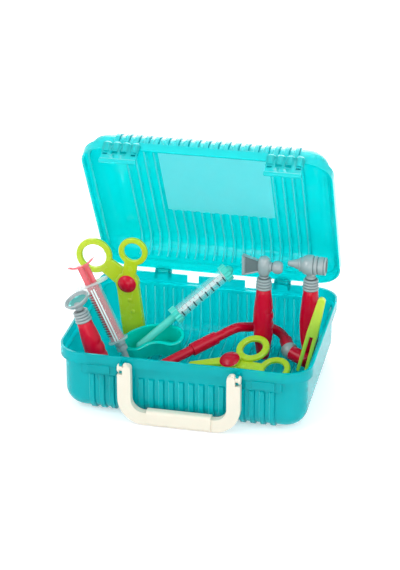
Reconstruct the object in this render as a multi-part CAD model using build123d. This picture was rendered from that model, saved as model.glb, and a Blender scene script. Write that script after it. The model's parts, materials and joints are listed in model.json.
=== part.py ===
"""Toy doctor's case: a ribbed, see-through hinged case with a swinging handle, open, with its kit of toy
instruments standing in it.

Millimetres and degrees. The origin is on the ground, at the middle of the case's footprint. +X is along the
case, to the right, +Y towards its hinge and +Z up. The handle is on the -Y side.
"""

import os
from math import atan2, cos, degrees, pi, radians, sin

from build123d import *

# ---------------------------------------------------------------- case: driving sizes
CASE_LENGTH = 268.0
CASE_DEPTH = 210.0
BASE_HEIGHT = 72.0
LID_HEIGHT = 34.0
LID_OPEN = 60.5
WALL = 2.2
RIM_STEP = 5.0
RIM_CORNER = 28.0
RIM_WALL = 2.4
BASE_RIM_BAND = 12.0
LID_RIM_BAND = 10.0
BASE_EDGE = 20.0
LID_EDGE = 22.0

# ---------------------------------------------------------------- case: ribs
RIB_PITCH = 10.59
RIBS_EACH_SIDE = 9
RIB_WIDTH = 6.6
RIB_RISE = 2.0
RIB_END_GAP = 1.5
RIB_SINK = 0.8
BASE_RIB_FRONT_DROP = 25.0
BASE_RIB_BACK_DROP = 14.0
LID_RIB_DROP = 12.0

# ---------------------------------------------------------------- lid: smooth panel
PANEL_HALF_LENGTH = 61.0
PANEL_FRONT = -78.0
PANEL_BACK = 33.0
PANEL_SINK = 0.6
PANEL_CORNER = 4.0

# ---------------------------------------------------------------- hinge
HINGE_BACK = 4.0
HINGE_X = 68.0
ROD_RADIUS = 2.0
ROD_CLEARANCE = 0.06
KNUCKLE_RADIUS = 3.8
KNUCKLE_WIDTH = 12.0
EAR_THICKNESS = 3.0
SIDE_CLEARANCE = 0.4
KNUCKLE_MOUTH = 3.4
WINDOW_X = 33.0
WINDOW_WIDTH = 13.0
WINDOW_DROP = 9.0

# ---------------------------------------------------------------- latches
LATCH_X = 86.6
LATCH_WIDTH = 38.0
PAD_DROP = 23.0
PAD_ROUND = 2.0
CATCH_WIDTH = 24.0
CATCH_HEIGHT = 9.0
CATCH_DROP = 11.5
CATCH_RISE = 1.2
CATCH_BEVEL = 0.72
TAB_RISE = 3.0
TAB_DROP = 19.0
TAB_THICKNESS = 2.4
TAB_GAP = 1.6
LID_SEAT = 0.5
HOOK_RADIUS = 1.92
SCALLOP_PITCH = 10.05
SCALLOP_RADIUS = 4.6
SCALLOPS = 4
SCALLOP_TIP = 3.4
SCALLOP_TAPER = 0.55
FINGER_SHARE = 0.4
SLOT_WIDTH = 5.0
SLOT_HEIGHT = 2.2

# ---------------------------------------------------------------- carrying handle
HANDLE_WIDTH = 129.0
HANDLE_BAR = 14.0
HANDLE_THICKNESS = 8.0
HANDLE_CORNER = 28.0
HANDLE_DROP = 62.0
GRIP_LENGTH = 68.0
GRIP_SWELL = 1.5
GRIP_ROUND = 3.5
PIVOT_FRONT = 6.0
PIVOT_DROP = 9.0
TRUNNION_RADIUS = 3.0
TRUNNION_LENGTH = 5.4
HEAD_WIDTH = 8.6
CLIP_THICKNESS = 3.2
CLIP_RADIUS = 5.4
CLIP_FRONT = 1.8

# ---------------------------------------------------------------- instruments: shared sizes
SEAT_GAP = 0.3
KIT_CASE_LENGTH = 268.0
FLOOR = RIB_RISE + WALL
GROUND_FLOOR = FLOOR + SEAT_GAP
GRIP_HEIGHT = 84.0
GRIP_FOOT_RADIUS = 6.6
FOOT_ROUND = 2.0
GRIP_TOP_RADIUS = 7.9
COLLAR_RADIUS = 7.5
COLLAR_RINGS = 4
COLLAR_RING = 3.3
COLLAR_RING_RISE = 1.0
GRIP_WAVES = (
    (8.2, 12.0),
    (10.0, 24.0),
    (10.7, 32.0),
    (11.5, 39.0),
    (10.6, 46.5),
    (11.4, 55.0),
    (9.7, 64.0),
    (9.4, 73.0),
)
NECK_RADIUS = 3.2
NECK_SINK = 1.0


def spread(*place):
    """A place in the kit, moved along X with the length of the case that the kit was laid out in."""
    return (place[0] * CASE_LENGTH / KIT_CASE_LENGTH, *place[1:])


# ---------------------------------------------------------------- instruments: places
SCISSORS_PIVOT = spread(-94.6, 49.6, 82.1)
SCISSORS_LEAN = -6.5
SYRINGE_FLANGE = spread(-91.3, -6.0, 38.5)
SYRINGE_RUN = (-41.4, 11.9, 79.6)
MIRROR_FOOT = spread(-86.4, -60.0)
MIRROR_LEAN = -19.0
MIRROR_FACING = (-0.44, -0.18, 0.88)
DISH_RIM_CENTRE = spread(-60.0, 21.3, 34.8)
DISH_TILT = 22.0
DISH_TURN = 18.0
THERMOMETER_FOOT = spread(-72.9, 15.3, 24.1)
THERMOMETER_RUN = (89.8, 61.8, 75.0)
ARCH_ROUTE = (
    spread(-53.5, -13.5, 10.2),
    spread(27.0, 57.0, 37.0),
    spread(70.0, 88.0, 27.0),
    spread(86.0, 54.0, 18.0),
)
BELL_START = spread(88.0, 49.0, 17.2)
BELL_END = spread(110.0, 38.0, 13.4)
HAMMER_FOOT = spread(56.9, 53.6)
OTOSCOPE_FOOT = spread(107.0, 61.4)
OTOSCOPE_LIFT = 0.4
TWEEZERS_SPLIT = spread(115.3, 27.0, 51.7)
TWEEZERS_LEAN = 12.5
FORCEPS_PIVOT = spread(29.0, 10.5, 18.2)
FORCEPS_FACING = (-0.156, -0.346, 0.925)
FORCEPS_ALONG = (51.3, -9.0, 5.3)
FORCEPS_TURN = 13.0

# ---------------------------------------------------------------- worked-out places
HALF_DEPTH = CASE_DEPTH / 2
HINGE_Y = HALF_DEPTH + HINGE_BACK
BODY_LENGTH = CASE_LENGTH - 2 * RIM_STEP
BODY_DEPTH = CASE_DEPTH - 2 * RIM_STEP
BODY_CORNER = RIM_CORNER - RIM_STEP
RIB_XS = [RIB_PITCH * n for n in range(-RIBS_EACH_SIDE, RIBS_EACH_SIDE + 1)]
LID_POSE = Pos(0, HINGE_Y, BASE_HEIGHT) * Rot(-LID_OPEN, 0, 0) * Pos(0, -HINGE_Y, 0)


def slab(length, depth, corner, low, high):
    """A block with rounded corners in plan, from one height to another."""
    return Pos(0, 0, low) * extrude(RectangleRounded(length, depth, corner), high - low)


def box(x, y, z):
    """A box between pairs of coordinates."""
    size = [high - low for low, high in (x, y, z)]
    middle = [(high + low) / 2 for low, high in (x, y, z)]
    return Pos(*middle) * Box(*size)


def rod(radius, length):
    """A cylinder along X, centred."""
    return Rot(0, 90, 0) * Cylinder(radius, length)


# ================================================================ case shells
def tub(height, band, edge):
    """An open tub with its bottom at z = 0: rounded all round, with a stepped-out band at its rim."""
    body = slab(BODY_LENGTH, BODY_DEPTH, BODY_CORNER, 0, height)
    body = fillet(body.edges().group_by(Axis.Z)[0], edge)
    body += slab(CASE_LENGTH, CASE_DEPTH, RIM_CORNER, height - band, height)
    bore = slab(BODY_LENGTH - 2 * WALL, BODY_DEPTH - 2 * WALL, BODY_CORNER - WALL, WALL, height)
    bore = fillet(bore.edges().group_by(Axis.Z)[0], edge - WALL)
    step = slab(
        CASE_LENGTH - 2 * RIM_WALL,
        CASE_DEPTH - 2 * RIM_WALL,
        RIM_CORNER - RIM_WALL,
        height - band + RIM_WALL,
        height,
    )
    return body - bore - step


def wrap(height, edge, front, back):
    """A rib that follows the tub's front, bottom and back, rooted a little way into its wall."""
    outer = RectangleRounded(BODY_DEPTH + 2 * RIB_RISE, 2 * (height + RIB_RISE), edge + RIB_RISE)
    inner = RectangleRounded(BODY_DEPTH - 2 * RIB_SINK, 2 * (height - RIB_SINK), edge - RIB_SINK)
    strip = extrude(Plane.YZ * Pos(0, height) * (outer - inner), RIB_WIDTH / 2, both=True)
    reach = CASE_DEPTH
    strip -= box((-RIB_WIDTH, RIB_WIDTH), (-reach, 0), (front, 3 * height))
    return strip - box((-RIB_WIDTH, RIB_WIDTH), (0, reach), (back, 3 * height))


def base_shell():
    """The case's lower half, with its ribs, hinge ears and rods, handle clips and latch pads."""
    front, back = (BASE_HEIGHT - RIB_RISE - drop for drop in (BASE_RIB_FRONT_DROP, BASE_RIB_BACK_DROP))
    height = BASE_HEIGHT - RIB_RISE
    shell = tub(height, BASE_RIM_BAND, BASE_EDGE)
    rib = wrap(height, BASE_EDGE, front, back)
    shell += [Pos(x, 0, 0) * rib for x in RIB_XS]
    shell = Pos(0, 0, RIB_RISE) * shell
    for side in (-1, 1):
        shell = shell + latch_pad(side) - hinge_window(side) + hinge_ears(side)
        shell = shell + handle_clip(side)
    return shell


def latch_pad(side):
    """The flat pad under the rim that a latch tab closes over, with its raised catch."""
    x, front = side * LATCH_X, -HALF_DEPTH
    pad = box(
        (x - LATCH_WIDTH / 2, x + LATCH_WIDTH / 2),
        (front, front + RIM_STEP + WALL / 2),
        (BASE_HEIGHT - PAD_DROP, BASE_HEIGHT - BASE_RIM_BAND),
    )
    pad = fillet(pad.edges().filter_by(Axis.Y).group_by(Axis.Z)[0], PAD_ROUND)
    top = BASE_HEIGHT - CATCH_DROP
    catch = box(
        (x - CATCH_WIDTH / 2, x + CATCH_WIDTH / 2),
        (front - CATCH_RISE, front + WALL / 2),
        (top - CATCH_HEIGHT, top),
    )
    return pad + chamfer(catch.faces().sort_by(Axis.Y)[0].edges(), CATCH_BEVEL)


def hinge_window(side):
    """An open window through the back of the rim band."""
    x = side * WINDOW_X
    return box(
        (x - WINDOW_WIDTH / 2, x + WINDOW_WIDTH / 2),
        (HALF_DEPTH - RIM_WALL * 2, HALF_DEPTH + RIM_STEP),
        (BASE_HEIGHT - WINDOW_DROP, BASE_HEIGHT + RIM_STEP),
    )


def hinge_ears(side):
    """Two ears behind the rim and the rod between them that the lid's knuckle turns on."""
    inner = KNUCKLE_WIDTH / 2 + SIDE_CLEARANCE
    root = HALF_DEPTH - RIM_WALL / 2
    ears = []
    for end in (-1, 1):
        x = side * HINGE_X + end * (inner + EAR_THICKNESS / 2)
        ear = Pos(x, HINGE_Y, BASE_HEIGHT) * rod(KNUCKLE_RADIUS, EAR_THICKNESS)
        half = EAR_THICKNESS / 2
        ear += box((x - half, x + half), (root, HINGE_Y), (BASE_HEIGHT - 2 * KNUCKLE_RADIUS, BASE_HEIGHT))
        ears.append(ear)
    pin = Pos(side * HINGE_X, HINGE_Y, BASE_HEIGHT) * rod(ROD_RADIUS, 2 * inner + EAR_THICKNESS)
    return ears[0] + ears[1] + pin


def handle_clip(side):
    """An open-fronted clip under the rim band that holds one of the handle's trunnions."""
    y, z = -HALF_DEPTH - PIVOT_FRONT, BASE_HEIGHT - PIVOT_DROP
    x = side * (HANDLE_WIDTH / 2 - HANDLE_BAR + HEAD_WIDTH + SIDE_CLEARANCE + CLIP_THICKNESS / 2)
    half, root = CLIP_THICKNESS / 2, -HALF_DEPTH + RIM_WALL / 2
    clip = Pos(x, y, z) * rod(CLIP_RADIUS, CLIP_THICKNESS)
    clip += box((x - half, x + half), (y, root), (z - CLIP_RADIUS, z + CLIP_RADIUS))
    clip -= Pos(x, y, z) * rod(TRUNNION_RADIUS + ROD_CLEARANCE, HANDLE_BAR)
    ahead = (y - 2 * CLIP_RADIUS, y - CLIP_FRONT)
    return clip - box((x - CLIP_RADIUS, x + CLIP_RADIUS), ahead, (z - 2 * CLIP_RADIUS, z + 2 * CLIP_RADIUS))


def lid_shell():
    """The case's lid, with its ribs, smooth panel, hinge knuckles and latch tabs, in its open pose."""
    tops = LID_HEIGHT - LID_RIB_DROP
    shell = tub(LID_HEIGHT, LID_RIM_BAND, LID_EDGE)
    rib = wrap(LID_HEIGHT, LID_EDGE, tops, tops)
    # The tub is modelled upside down, so its front is on the +Y side until it is turned over.
    ends = (-PANEL_BACK - RIB_END_GAP, -PANEL_FRONT + RIB_END_GAP)
    short_rib = rib - box((-RIB_PITCH, RIB_PITCH), ends, (-RIB_RISE * 2, WALL * 2))
    for x in RIB_XS:
        beside_panel = abs(x) > PANEL_HALF_LENGTH + RIB_WIDTH
        shell += Pos(x, 0, 0) * (rib if beside_panel else short_rib)
    middle = -(PANEL_FRONT + PANEL_BACK) / 2
    panel = RectangleRounded(2 * PANEL_HALF_LENGTH, PANEL_BACK - PANEL_FRONT, PANEL_CORNER)
    shell -= Pos(0, middle, 0) * extrude(panel, PANEL_SINK)
    shell = Pos(0, 0, LID_HEIGHT) * Rot(180, 0, 0) * shell
    for side in (-1, 1):
        shell = shell + latch_tab(side) + hinge_knuckle(side)
    return LID_POSE * shell


def hinge_knuckle(side):
    """A snap-on knuckle on the lid's back edge, open behind, with the lid shut."""
    x = side * HINGE_X
    half = KNUCKLE_WIDTH / 2
    knuckle = Pos(x, HINGE_Y, 0) * rod(KNUCKLE_RADIUS, KNUCKLE_WIDTH)
    knuckle += box((x - half, x + half), (HALF_DEPTH - RIM_WALL / 2, HINGE_Y), (SEAT_GAP, KNUCKLE_RADIUS))
    knuckle -= Pos(x, HINGE_Y, 0) * rod(ROD_RADIUS + ROD_CLEARANCE, KNUCKLE_WIDTH * 2)
    mouth = box(
        (x - KNUCKLE_WIDTH, x + KNUCKLE_WIDTH),
        (HINGE_Y, HINGE_Y + 2 * KNUCKLE_RADIUS),
        (-KNUCKLE_MOUTH / 2, KNUCKLE_MOUTH / 2),
    )
    return knuckle - mouth


def latch_tab(side):
    """A latch tab on the lid's front edge: a hooked plate with upright finger scallops and slots."""
    x, back = side * LATCH_X, -HALF_DEPTH - TAB_GAP
    front = back - TAB_THICKNESS
    span = (x - LATCH_WIDTH / 2, x + LATCH_WIDTH / 2)
    root = -HALF_DEPTH + RIM_WALL / 2
    tab = box(span, (front, back), (-TAB_DROP, TAB_RISE)) + box(span, (front, root), (LID_SEAT, TAB_RISE))
    tab += Pos(x, back - TAB_THICKNESS / 2, -TAB_DROP) * rod(HOOK_RADIUS, LATCH_WIDTH)
    drop = TAB_DROP * FINGER_SHARE
    centre = back - TAB_THICKNESS * FINGER_SHARE
    low = -drop - 2 * SLOT_HEIGHT
    for n in range(SCALLOPS):
        at = x + (n - (SCALLOPS - 1) / 2) * SCALLOP_PITCH
        scallop = Pos(at, centre, (TAB_RISE - drop) / 2) * Cylinder(SCALLOP_RADIUS, TAB_RISE + drop)
        tip = Cone(SCALLOP_RADIUS, SCALLOP_RADIUS * SCALLOP_TAPER, SCALLOP_TIP)
        scallop += Pos(at, centre, TAB_RISE + SCALLOP_TIP / 2) * tip
        sides = (at - SCALLOP_PITCH, at + SCALLOP_PITCH)
        scallop -= box(sides, (back, 0), (-TAB_DROP, LID_SEAT))
        scallop -= box(sides, (root, 0), (-TAB_DROP, LID_HEIGHT))
        tab += scallop
        slot = (at - SLOT_WIDTH / 2, at + SLOT_WIDTH / 2)
        tab -= box(slot, (front - TAB_GAP, back + TAB_GAP), (low, low + SLOT_HEIGHT))
    return tab


# ================================================================ carrying handle
def handle_bail():
    """The carrying handle: a rounded U hanging from two trunnions, with a thicker grip."""
    half, bar = HANDLE_WIDTH / 2, HANDLE_BAR
    outer = Pos(0, -HANDLE_DROP / 2) * Rectangle(HANDLE_WIDTH, HANDLE_DROP)
    inner = Pos(0, (bar - HANDLE_DROP) / 2) * Rectangle(HANDLE_WIDTH - 2 * bar, HANDLE_DROP - bar)
    outer = fillet(outer.vertices().group_by(Axis.Y)[0], HANDLE_CORNER)
    inner = fillet(inner.vertices().group_by(Axis.Y)[0], HANDLE_CORNER - bar)
    frame = outer - inner
    shoulder = CLIP_RADIUS + SIDE_CLEARANCE * 2
    for side in (-1, 1):
        outward = side * (half - bar + HEAD_WIDTH)
        away = Pos(outward + side * bar / 2, 0) * Rectangle(bar, 2 * shoulder)
        frame = frame - away
        frame += Pos(side * (half - bar + HEAD_WIDTH / 2), 0) * Circle(HEAD_WIDTH / 2)
    bail = extrude(Plane.XZ * frame, HANDLE_THICKNESS / 2, both=True)
    section = RectangleRounded(HANDLE_THICKNESS + 2 * GRIP_SWELL, bar + 2 * GRIP_SWELL, GRIP_ROUND)
    section = Pos(0, -HANDLE_DROP + bar / 2 + GRIP_SWELL) * section
    bail += extrude(Plane.YZ * section, GRIP_LENGTH / 2, both=True)
    for side in (-1, 1):
        x = side * (half - bar + HEAD_WIDTH + TRUNNION_LENGTH / 2)
        bail += Pos(x, 0, 0) * rod(TRUNNION_RADIUS, TRUNNION_LENGTH)
    return Pos(0, -HALF_DEPTH - PIVOT_FRONT, BASE_HEIGHT - PIVOT_DROP) * bail


# ================================================================ instruments with a grip
def grip_handle():
    """A turned grip standing on z = 0, swelling twice for the fingers."""
    waves = ((GRIP_FOOT_RADIUS, FOOT_ROUND), *GRIP_WAVES, (GRIP_TOP_RADIUS, GRIP_HEIGHT))
    side = Spline([(r, 0, z) for r, z in waves])
    start = GRIP_FOOT_RADIUS - FOOT_ROUND
    bulge = FOOT_ROUND * sin(radians(45))
    flat = Line((0, 0, 0), (start, 0, 0))
    foot = ThreePointArc(
        (start, 0, 0),
        (start + bulge, 0, FOOT_ROUND - bulge),
        (GRIP_FOOT_RADIUS, 0, FOOT_ROUND),
    )
    top = Line((GRIP_TOP_RADIUS, 0, GRIP_HEIGHT), (0, 0, GRIP_HEIGHT))
    middle = Line((0, 0, GRIP_HEIGHT), (0, 0, 0))
    return revolve(make_face([flat, foot, side, top, middle]), Axis.Z)


def collar():
    """A ringed collar standing on z = 0."""
    outline = [(0, 0, 0), (COLLAR_RADIUS, 0, 0)]
    for n in range(COLLAR_RINGS):
        low = n * COLLAR_RING
        outline.append((COLLAR_RADIUS + COLLAR_RING_RISE, 0, low + COLLAR_RING * 0.3))
        outline.append((COLLAR_RADIUS + COLLAR_RING_RISE, 0, low + COLLAR_RING * 0.7))
        outline.append((COLLAR_RADIUS, 0, low + COLLAR_RING))
    outline.append((0, 0, COLLAR_RINGS * COLLAR_RING))
    return revolve(make_face(Polyline(*outline, close=True)), Axis.Z)


COLLAR_HEIGHT = COLLAR_RINGS * COLLAR_RING
HEAD_BASE = GRIP_HEIGHT + COLLAR_HEIGHT

# ---------------------------------------------------------------- throat mirror
CUP_RADIUS = 14.0
CUP_THICKNESS = 4.0
CUP_LIP = 2.2
CUP_DEPTH = 1.6
CUP_ROUND = 2.4
MIRROR_THICKNESS = 1.0
CUP_HEIGHT = 11.0
CUP_SHIFT = 1.0
MIRROR_FOOT_LIFT = GRIP_FOOT_RADIUS * sin(radians(-MIRROR_LEAN))
MIRROR_POSE = Pos(*MIRROR_FOOT, GROUND_FLOOR + MIRROR_FOOT_LIFT) * Rot(0, MIRROR_LEAN, 0)


def cup_pose():
    """Where the mirror's cup sits: over the neck, turned to its facing."""
    middle = (MIRROR_POSE * Pos(CUP_SHIFT, 0, HEAD_BASE + CUP_HEIGHT)).position
    return Plane(origin=middle, z_dir=MIRROR_FACING).location


def mirror_head():
    """The mirror's ringed collar, neck and shallow cup."""
    head = Pos(0, 0, GRIP_HEIGHT) * collar()
    head += Pos(0, 0, HEAD_BASE + CUP_HEIGHT / 2 - NECK_SINK) * Cylinder(NECK_RADIUS, CUP_HEIGHT)
    cup = Cylinder(CUP_RADIUS, CUP_THICKNESS)
    cup = fillet(cup.edges().group_by(Axis.Z)[0], CUP_ROUND)
    cup -= Pos(0, 0, CUP_THICKNESS / 2) * Cylinder(CUP_RADIUS - CUP_LIP, 2 * CUP_DEPTH)
    return MIRROR_POSE * head + cup_pose() * cup


def mirror_disc():
    """The silvered disc lying in the cup."""
    height = CUP_THICKNESS / 2 - CUP_DEPTH + MIRROR_THICKNESS / 2
    return cup_pose() * Pos(0, 0, height) * Cylinder(CUP_RADIUS - CUP_LIP - ROD_CLEARANCE, MIRROR_THICKNESS)


# ---------------------------------------------------------------- reflex hammer
HAMMER_BALL = (6.6, 11.0)
HAMMER_AXIS_RISE = 13.6
HAMMER_NECK = 6.0
WEDGE_START = 2.0
WEDGE_ROUND = 1.2
WEDGE_REACH = 24.0
WEDGE_HEIGHT = 24.0
WEDGE_ROOT = 11.0
WEDGE_THICKNESS = 7.0
WEDGE_RIM = 2.2
WEDGE_SINK = 1.6
TAPPER_REACH = 13.4
TAPPER_RADIUS = 7.2
TAPPER_NECK = 5.0
TAPPER_NECK_LENGTH = 3.6
HAMMER_POSE = Pos(*HAMMER_FOOT, GROUND_FLOOR)


def hammer_head():
    """The hammer's collar, egg-shaped boss, framed wedge and round tapper."""
    wide, tall = HAMMER_BALL
    head = Pos(0, 0, GRIP_HEIGHT) * collar()
    head += Pos(0, 0, HEAD_BASE + HAMMER_NECK / 2 - NECK_SINK) * Cylinder(NECK_RADIUS, HAMMER_NECK)
    right_half = Ellipse(wide, tall) & Pos(tall / 2, 0) * Rectangle(tall, 3 * tall)
    egg = revolve(Plane.XZ * right_half, Axis.Z)
    outline = make_face(
        Polyline(
            (-WEDGE_START, WEDGE_ROOT / 2),
            (-WEDGE_REACH, WEDGE_HEIGHT / 2),
            (-WEDGE_REACH, -WEDGE_HEIGHT / 2),
            (-WEDGE_START, -WEDGE_ROOT / 2),
            close=True,
        )
    )
    wedge = extrude(Plane.XZ * outline, WEDGE_THICKNESS / 2, both=True)
    wedge = fillet(wedge.edges().filter_by(Axis.Y), WEDGE_ROUND)
    panel = Plane.XZ * offset(outline, -WEDGE_RIM, kind=Kind.INTERSECTION)
    for face in (-1, 1):
        sink = extrude(panel, WEDGE_SINK, both=True)
        wedge -= Pos(0, face * WEDGE_THICKNESS / 2, 0) * sink
    tapper = Pos(TAPPER_REACH, 0, 0) * Sphere(TAPPER_RADIUS)
    tapper += Pos(TAPPER_REACH - TAPPER_RADIUS, 0, 0) * rod(TAPPER_NECK, TAPPER_NECK_LENGTH)
    return HAMMER_POSE * (head + Pos(0, 0, HEAD_BASE + HAMMER_AXIS_RISE) * (egg + wedge + tapper))


# ---------------------------------------------------------------- ear scope
SCOPE_AXIS_RISE = 16.0
SCOPE_NECK = 3.8
SCOPE_NECK_LENGTH = 8.0
SCOPE_TIP = 25.5
SCOPE_TIP_RADIUS = 2.8
SCOPE_CONE_RADIUS = 6.0
SCOPE_CONE_END = 11.5
SCOPE_STEP_RADIUS = 7.4
SCOPE_BODY_RADIUS = 11.2
SCOPE_BODY_END = 4.5
SCOPE_STEP = 0.8
EYE_RING_RISE = 0.7
EYE_RING_WIDTH = 2.0
CUP_WALL = 1.4
EYE_CUP_RADIUS = 8.8
EYE_CUP_END = 16.5
EYE_CUP_DEPTH = 9.0
OTOSCOPE_POSE = Pos(*OTOSCOPE_FOOT, GROUND_FLOOR + OTOSCOPE_LIFT)


def otoscope_head():
    """The scope's collar and turned barrel: cone, round body and a hollow eye cup."""
    head = Pos(0, 0, GRIP_HEIGHT) * collar()
    head += Pos(0, 0, HEAD_BASE + SCOPE_NECK_LENGTH / 2 - NECK_SINK) * Cylinder(SCOPE_NECK, SCOPE_NECK_LENGTH)
    cup_floor = EYE_CUP_END - EYE_CUP_DEPTH
    crown = ThreePointArc(
        (-SCOPE_CONE_END, SCOPE_STEP_RADIUS),
        (-SCOPE_BODY_END / 2, SCOPE_BODY_RADIUS),
        (SCOPE_BODY_END, SCOPE_BODY_RADIUS - SCOPE_STEP),
    )
    cup = Polyline(
        (SCOPE_BODY_END, SCOPE_BODY_RADIUS - SCOPE_STEP),
        (SCOPE_BODY_END + SCOPE_STEP, EYE_CUP_RADIUS),
        (EYE_CUP_END, EYE_CUP_RADIUS),
        (EYE_CUP_END, EYE_CUP_RADIUS - CUP_WALL),
        (cup_floor, EYE_CUP_RADIUS - 2 * CUP_WALL),
        (cup_floor, 0),
        (-SCOPE_TIP, 0),
        (-SCOPE_TIP, SCOPE_TIP_RADIUS),
        (-SCOPE_CONE_END, SCOPE_CONE_RADIUS),
        (-SCOPE_CONE_END, SCOPE_STEP_RADIUS),
    )
    barrel = revolve(make_face([crown, cup]), Axis.X)
    middle = (SCOPE_BODY_END + EYE_CUP_END) / 2
    barrel += Pos(middle, 0, 0) * rod(EYE_CUP_RADIUS + EYE_RING_RISE, EYE_RING_WIDTH)
    barrel -= Pos(EYE_CUP_END, 0, 0) * rod(EYE_CUP_RADIUS - 2 * CUP_WALL, 2 * EYE_CUP_DEPTH)
    return OTOSCOPE_POSE * (head + Pos(0, 0, HEAD_BASE + SCOPE_AXIS_RISE) * barrel)


# ================================================================ scissors and forceps
SCISSOR_THICKNESS = 3.8
SCISSOR_GAP = 0.3
SCISSOR_BOSS = 13.0
SCISSOR_BLADE = (12.2, 12.6, 77.9)
SCISSOR_RINGS = ((11.6, 37.9, 16.2, 10.2), (-34.4, 32.4, 20.3, 13.6))
SCISSOR_NECK = (8.0, 7.0)
BACK_NECK = (11.0, 9.0)
BACK_BLADE_SHORTER = 2.0
RIVET_RADIUS = 10.4
RIVET_RISE = 5.6
PIN_RADIUS = 2.5
PIN_WAIST = 2.0
FORCEPS_THICKNESS = 3.6
FORCEPS_BOSS = 11.0
FORCEPS_BLADE = (6.0, 2.6, 46.0)
FORCEPS_RINGS = ((-15.4, 24.2, 18.4, 11.2), (15.6, 49.5, 17.6, 11.2))
FORCEPS_NECK = (6.0, 5.0)
FORCEPS_RIVET = (11.2, 5.0)
RING_ROUND = 0.9


def half_shape(ring, boss, neck, blade):
    """One half's outline: blade down, boss at the pivot, neck and ring up. ring is (x, y, outer, inner)."""
    x, y, outer, inner = ring
    root, tip, length = blade
    arm = make_hull((Circle(neck[0]) + Pos(x, y) * Circle(neck[1])).edges())
    ends = Circle(root) + Pos(0, tip - length) * Circle(tip)
    outline = make_hull(ends.edges()) + Circle(boss) + arm + Pos(x, y) * Circle(outer)
    return outline - Pos(x, y) * Circle(inner)


def cutting_half(outline, thickness, pin_hole):
    """A half in the XY plane, its back on z = 0, with rounded edges and its pivot hole."""
    half = extrude(outline, thickness)
    half = chamfer(half.edges().group_by(Axis.Z)[-1], RING_ROUND)
    return half - Cylinder(pin_hole, thickness * 3)


def rivet(radius, rise, pin, depth):
    """A domed rivet head on z = 0 with its pin below."""
    ball = (radius**2 + rise**2) / (2 * rise)
    dome = Pos(0, 0, rise - ball) * Sphere(ball)
    dome -= Pos(0, 0, -2 * ball) * Box(4 * ball, 4 * ball, 4 * ball)
    return dome + Pos(0, 0, -depth / 2) * Cylinder(pin, depth)


def waist(thickness):
    """What is cut from a rivet's pin so that it fits the narrower hole of the half that it is fixed in."""
    sleeve = Cylinder(PIN_RADIUS + PIN_WAIST, thickness) - Cylinder(PIN_WAIST, thickness)
    return Pos(0, 0, -thickness / 2) * sleeve


def upright(pivot, lean):
    """A pose that stands an XY outline up, facing -Y, with its +Y pointing up and leaning along X."""
    return Pos(*pivot) * Rot(0, lean, 0) * Rot(90, 0, 0)


SCISSORS_POSE = upright(SCISSORS_PIVOT, SCISSORS_LEAN)


def scissors_front():
    """The scissors' front half."""
    outline = half_shape(SCISSOR_RINGS[0], SCISSOR_BOSS, SCISSOR_NECK, SCISSOR_BLADE)
    return SCISSORS_POSE * cutting_half(outline, SCISSOR_THICKNESS, PIN_WAIST)


def scissors_back():
    """The scissors' back half, which turns on the rivet's pin."""
    root, tip, length = SCISSOR_BLADE
    blade = (root, tip, length - BACK_BLADE_SHORTER)
    outline = half_shape(SCISSOR_RINGS[1], SCISSOR_BOSS, BACK_NECK, blade)
    half = cutting_half(outline, SCISSOR_THICKNESS, PIN_RADIUS + ROD_CLEARANCE)
    return SCISSORS_POSE * Pos(0, 0, -SCISSOR_THICKNESS - SCISSOR_GAP) * half


def scissors_rivet():
    """The scissors' domed rivet."""
    depth = 2 * SCISSOR_THICKNESS + SCISSOR_GAP
    body = rivet(RIVET_RADIUS, RIVET_RISE, PIN_RADIUS, depth)
    return SCISSORS_POSE * Pos(0, 0, SCISSOR_THICKNESS) * (body - waist(SCISSOR_THICKNESS))


FORCEPS_PLANE = Plane(origin=FORCEPS_PIVOT, x_dir=FORCEPS_ALONG, z_dir=FORCEPS_FACING)
FORCEPS_POSE = FORCEPS_PLANE.location * Rot(0, 0, FORCEPS_TURN - 90)


def forceps_half(ring, level, pin_hole):
    """One half of the forceps, lying at a level across their plane."""
    outline = half_shape(ring, FORCEPS_BOSS, FORCEPS_NECK, FORCEPS_BLADE)
    return FORCEPS_POSE * Pos(0, 0, level) * cutting_half(outline, FORCEPS_THICKNESS, pin_hole)


def forceps_upper():
    """The forceps' upper half."""
    return forceps_half(FORCEPS_RINGS[0], 0, PIN_WAIST)


def forceps_lower():
    """The forceps' lower half, which turns on the rivet's pin."""
    return forceps_half(FORCEPS_RINGS[1], -FORCEPS_THICKNESS - SCISSOR_GAP, PIN_RADIUS + ROD_CLEARANCE)


def forceps_rivet():
    """The forceps' domed rivet."""
    radius, rise = FORCEPS_RIVET
    body = rivet(radius, rise, PIN_RADIUS, 2 * FORCEPS_THICKNESS + SCISSOR_GAP)
    return FORCEPS_POSE * Pos(0, 0, FORCEPS_THICKNESS) * (body - waist(FORCEPS_THICKNESS))


# ---------------------------------------------------------------- tweezers
TWEEZER_TOP = (4.2, 42.0)
TWEEZER_WIDTH = 13.0
TWEEZER_THICKNESS = 5.0
PRONG_ROOT = 4.6
PRONG_TIP = 3.6
PRONG_SPREAD = 8.6
PRONG_LEAN = 0.44
PRONG_LENGTH = 45.2
PRONG_INSET = 0.2
SHOULDER_RADIUS = 2.5
TWEEZER_BEVEL = 0.8


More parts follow.
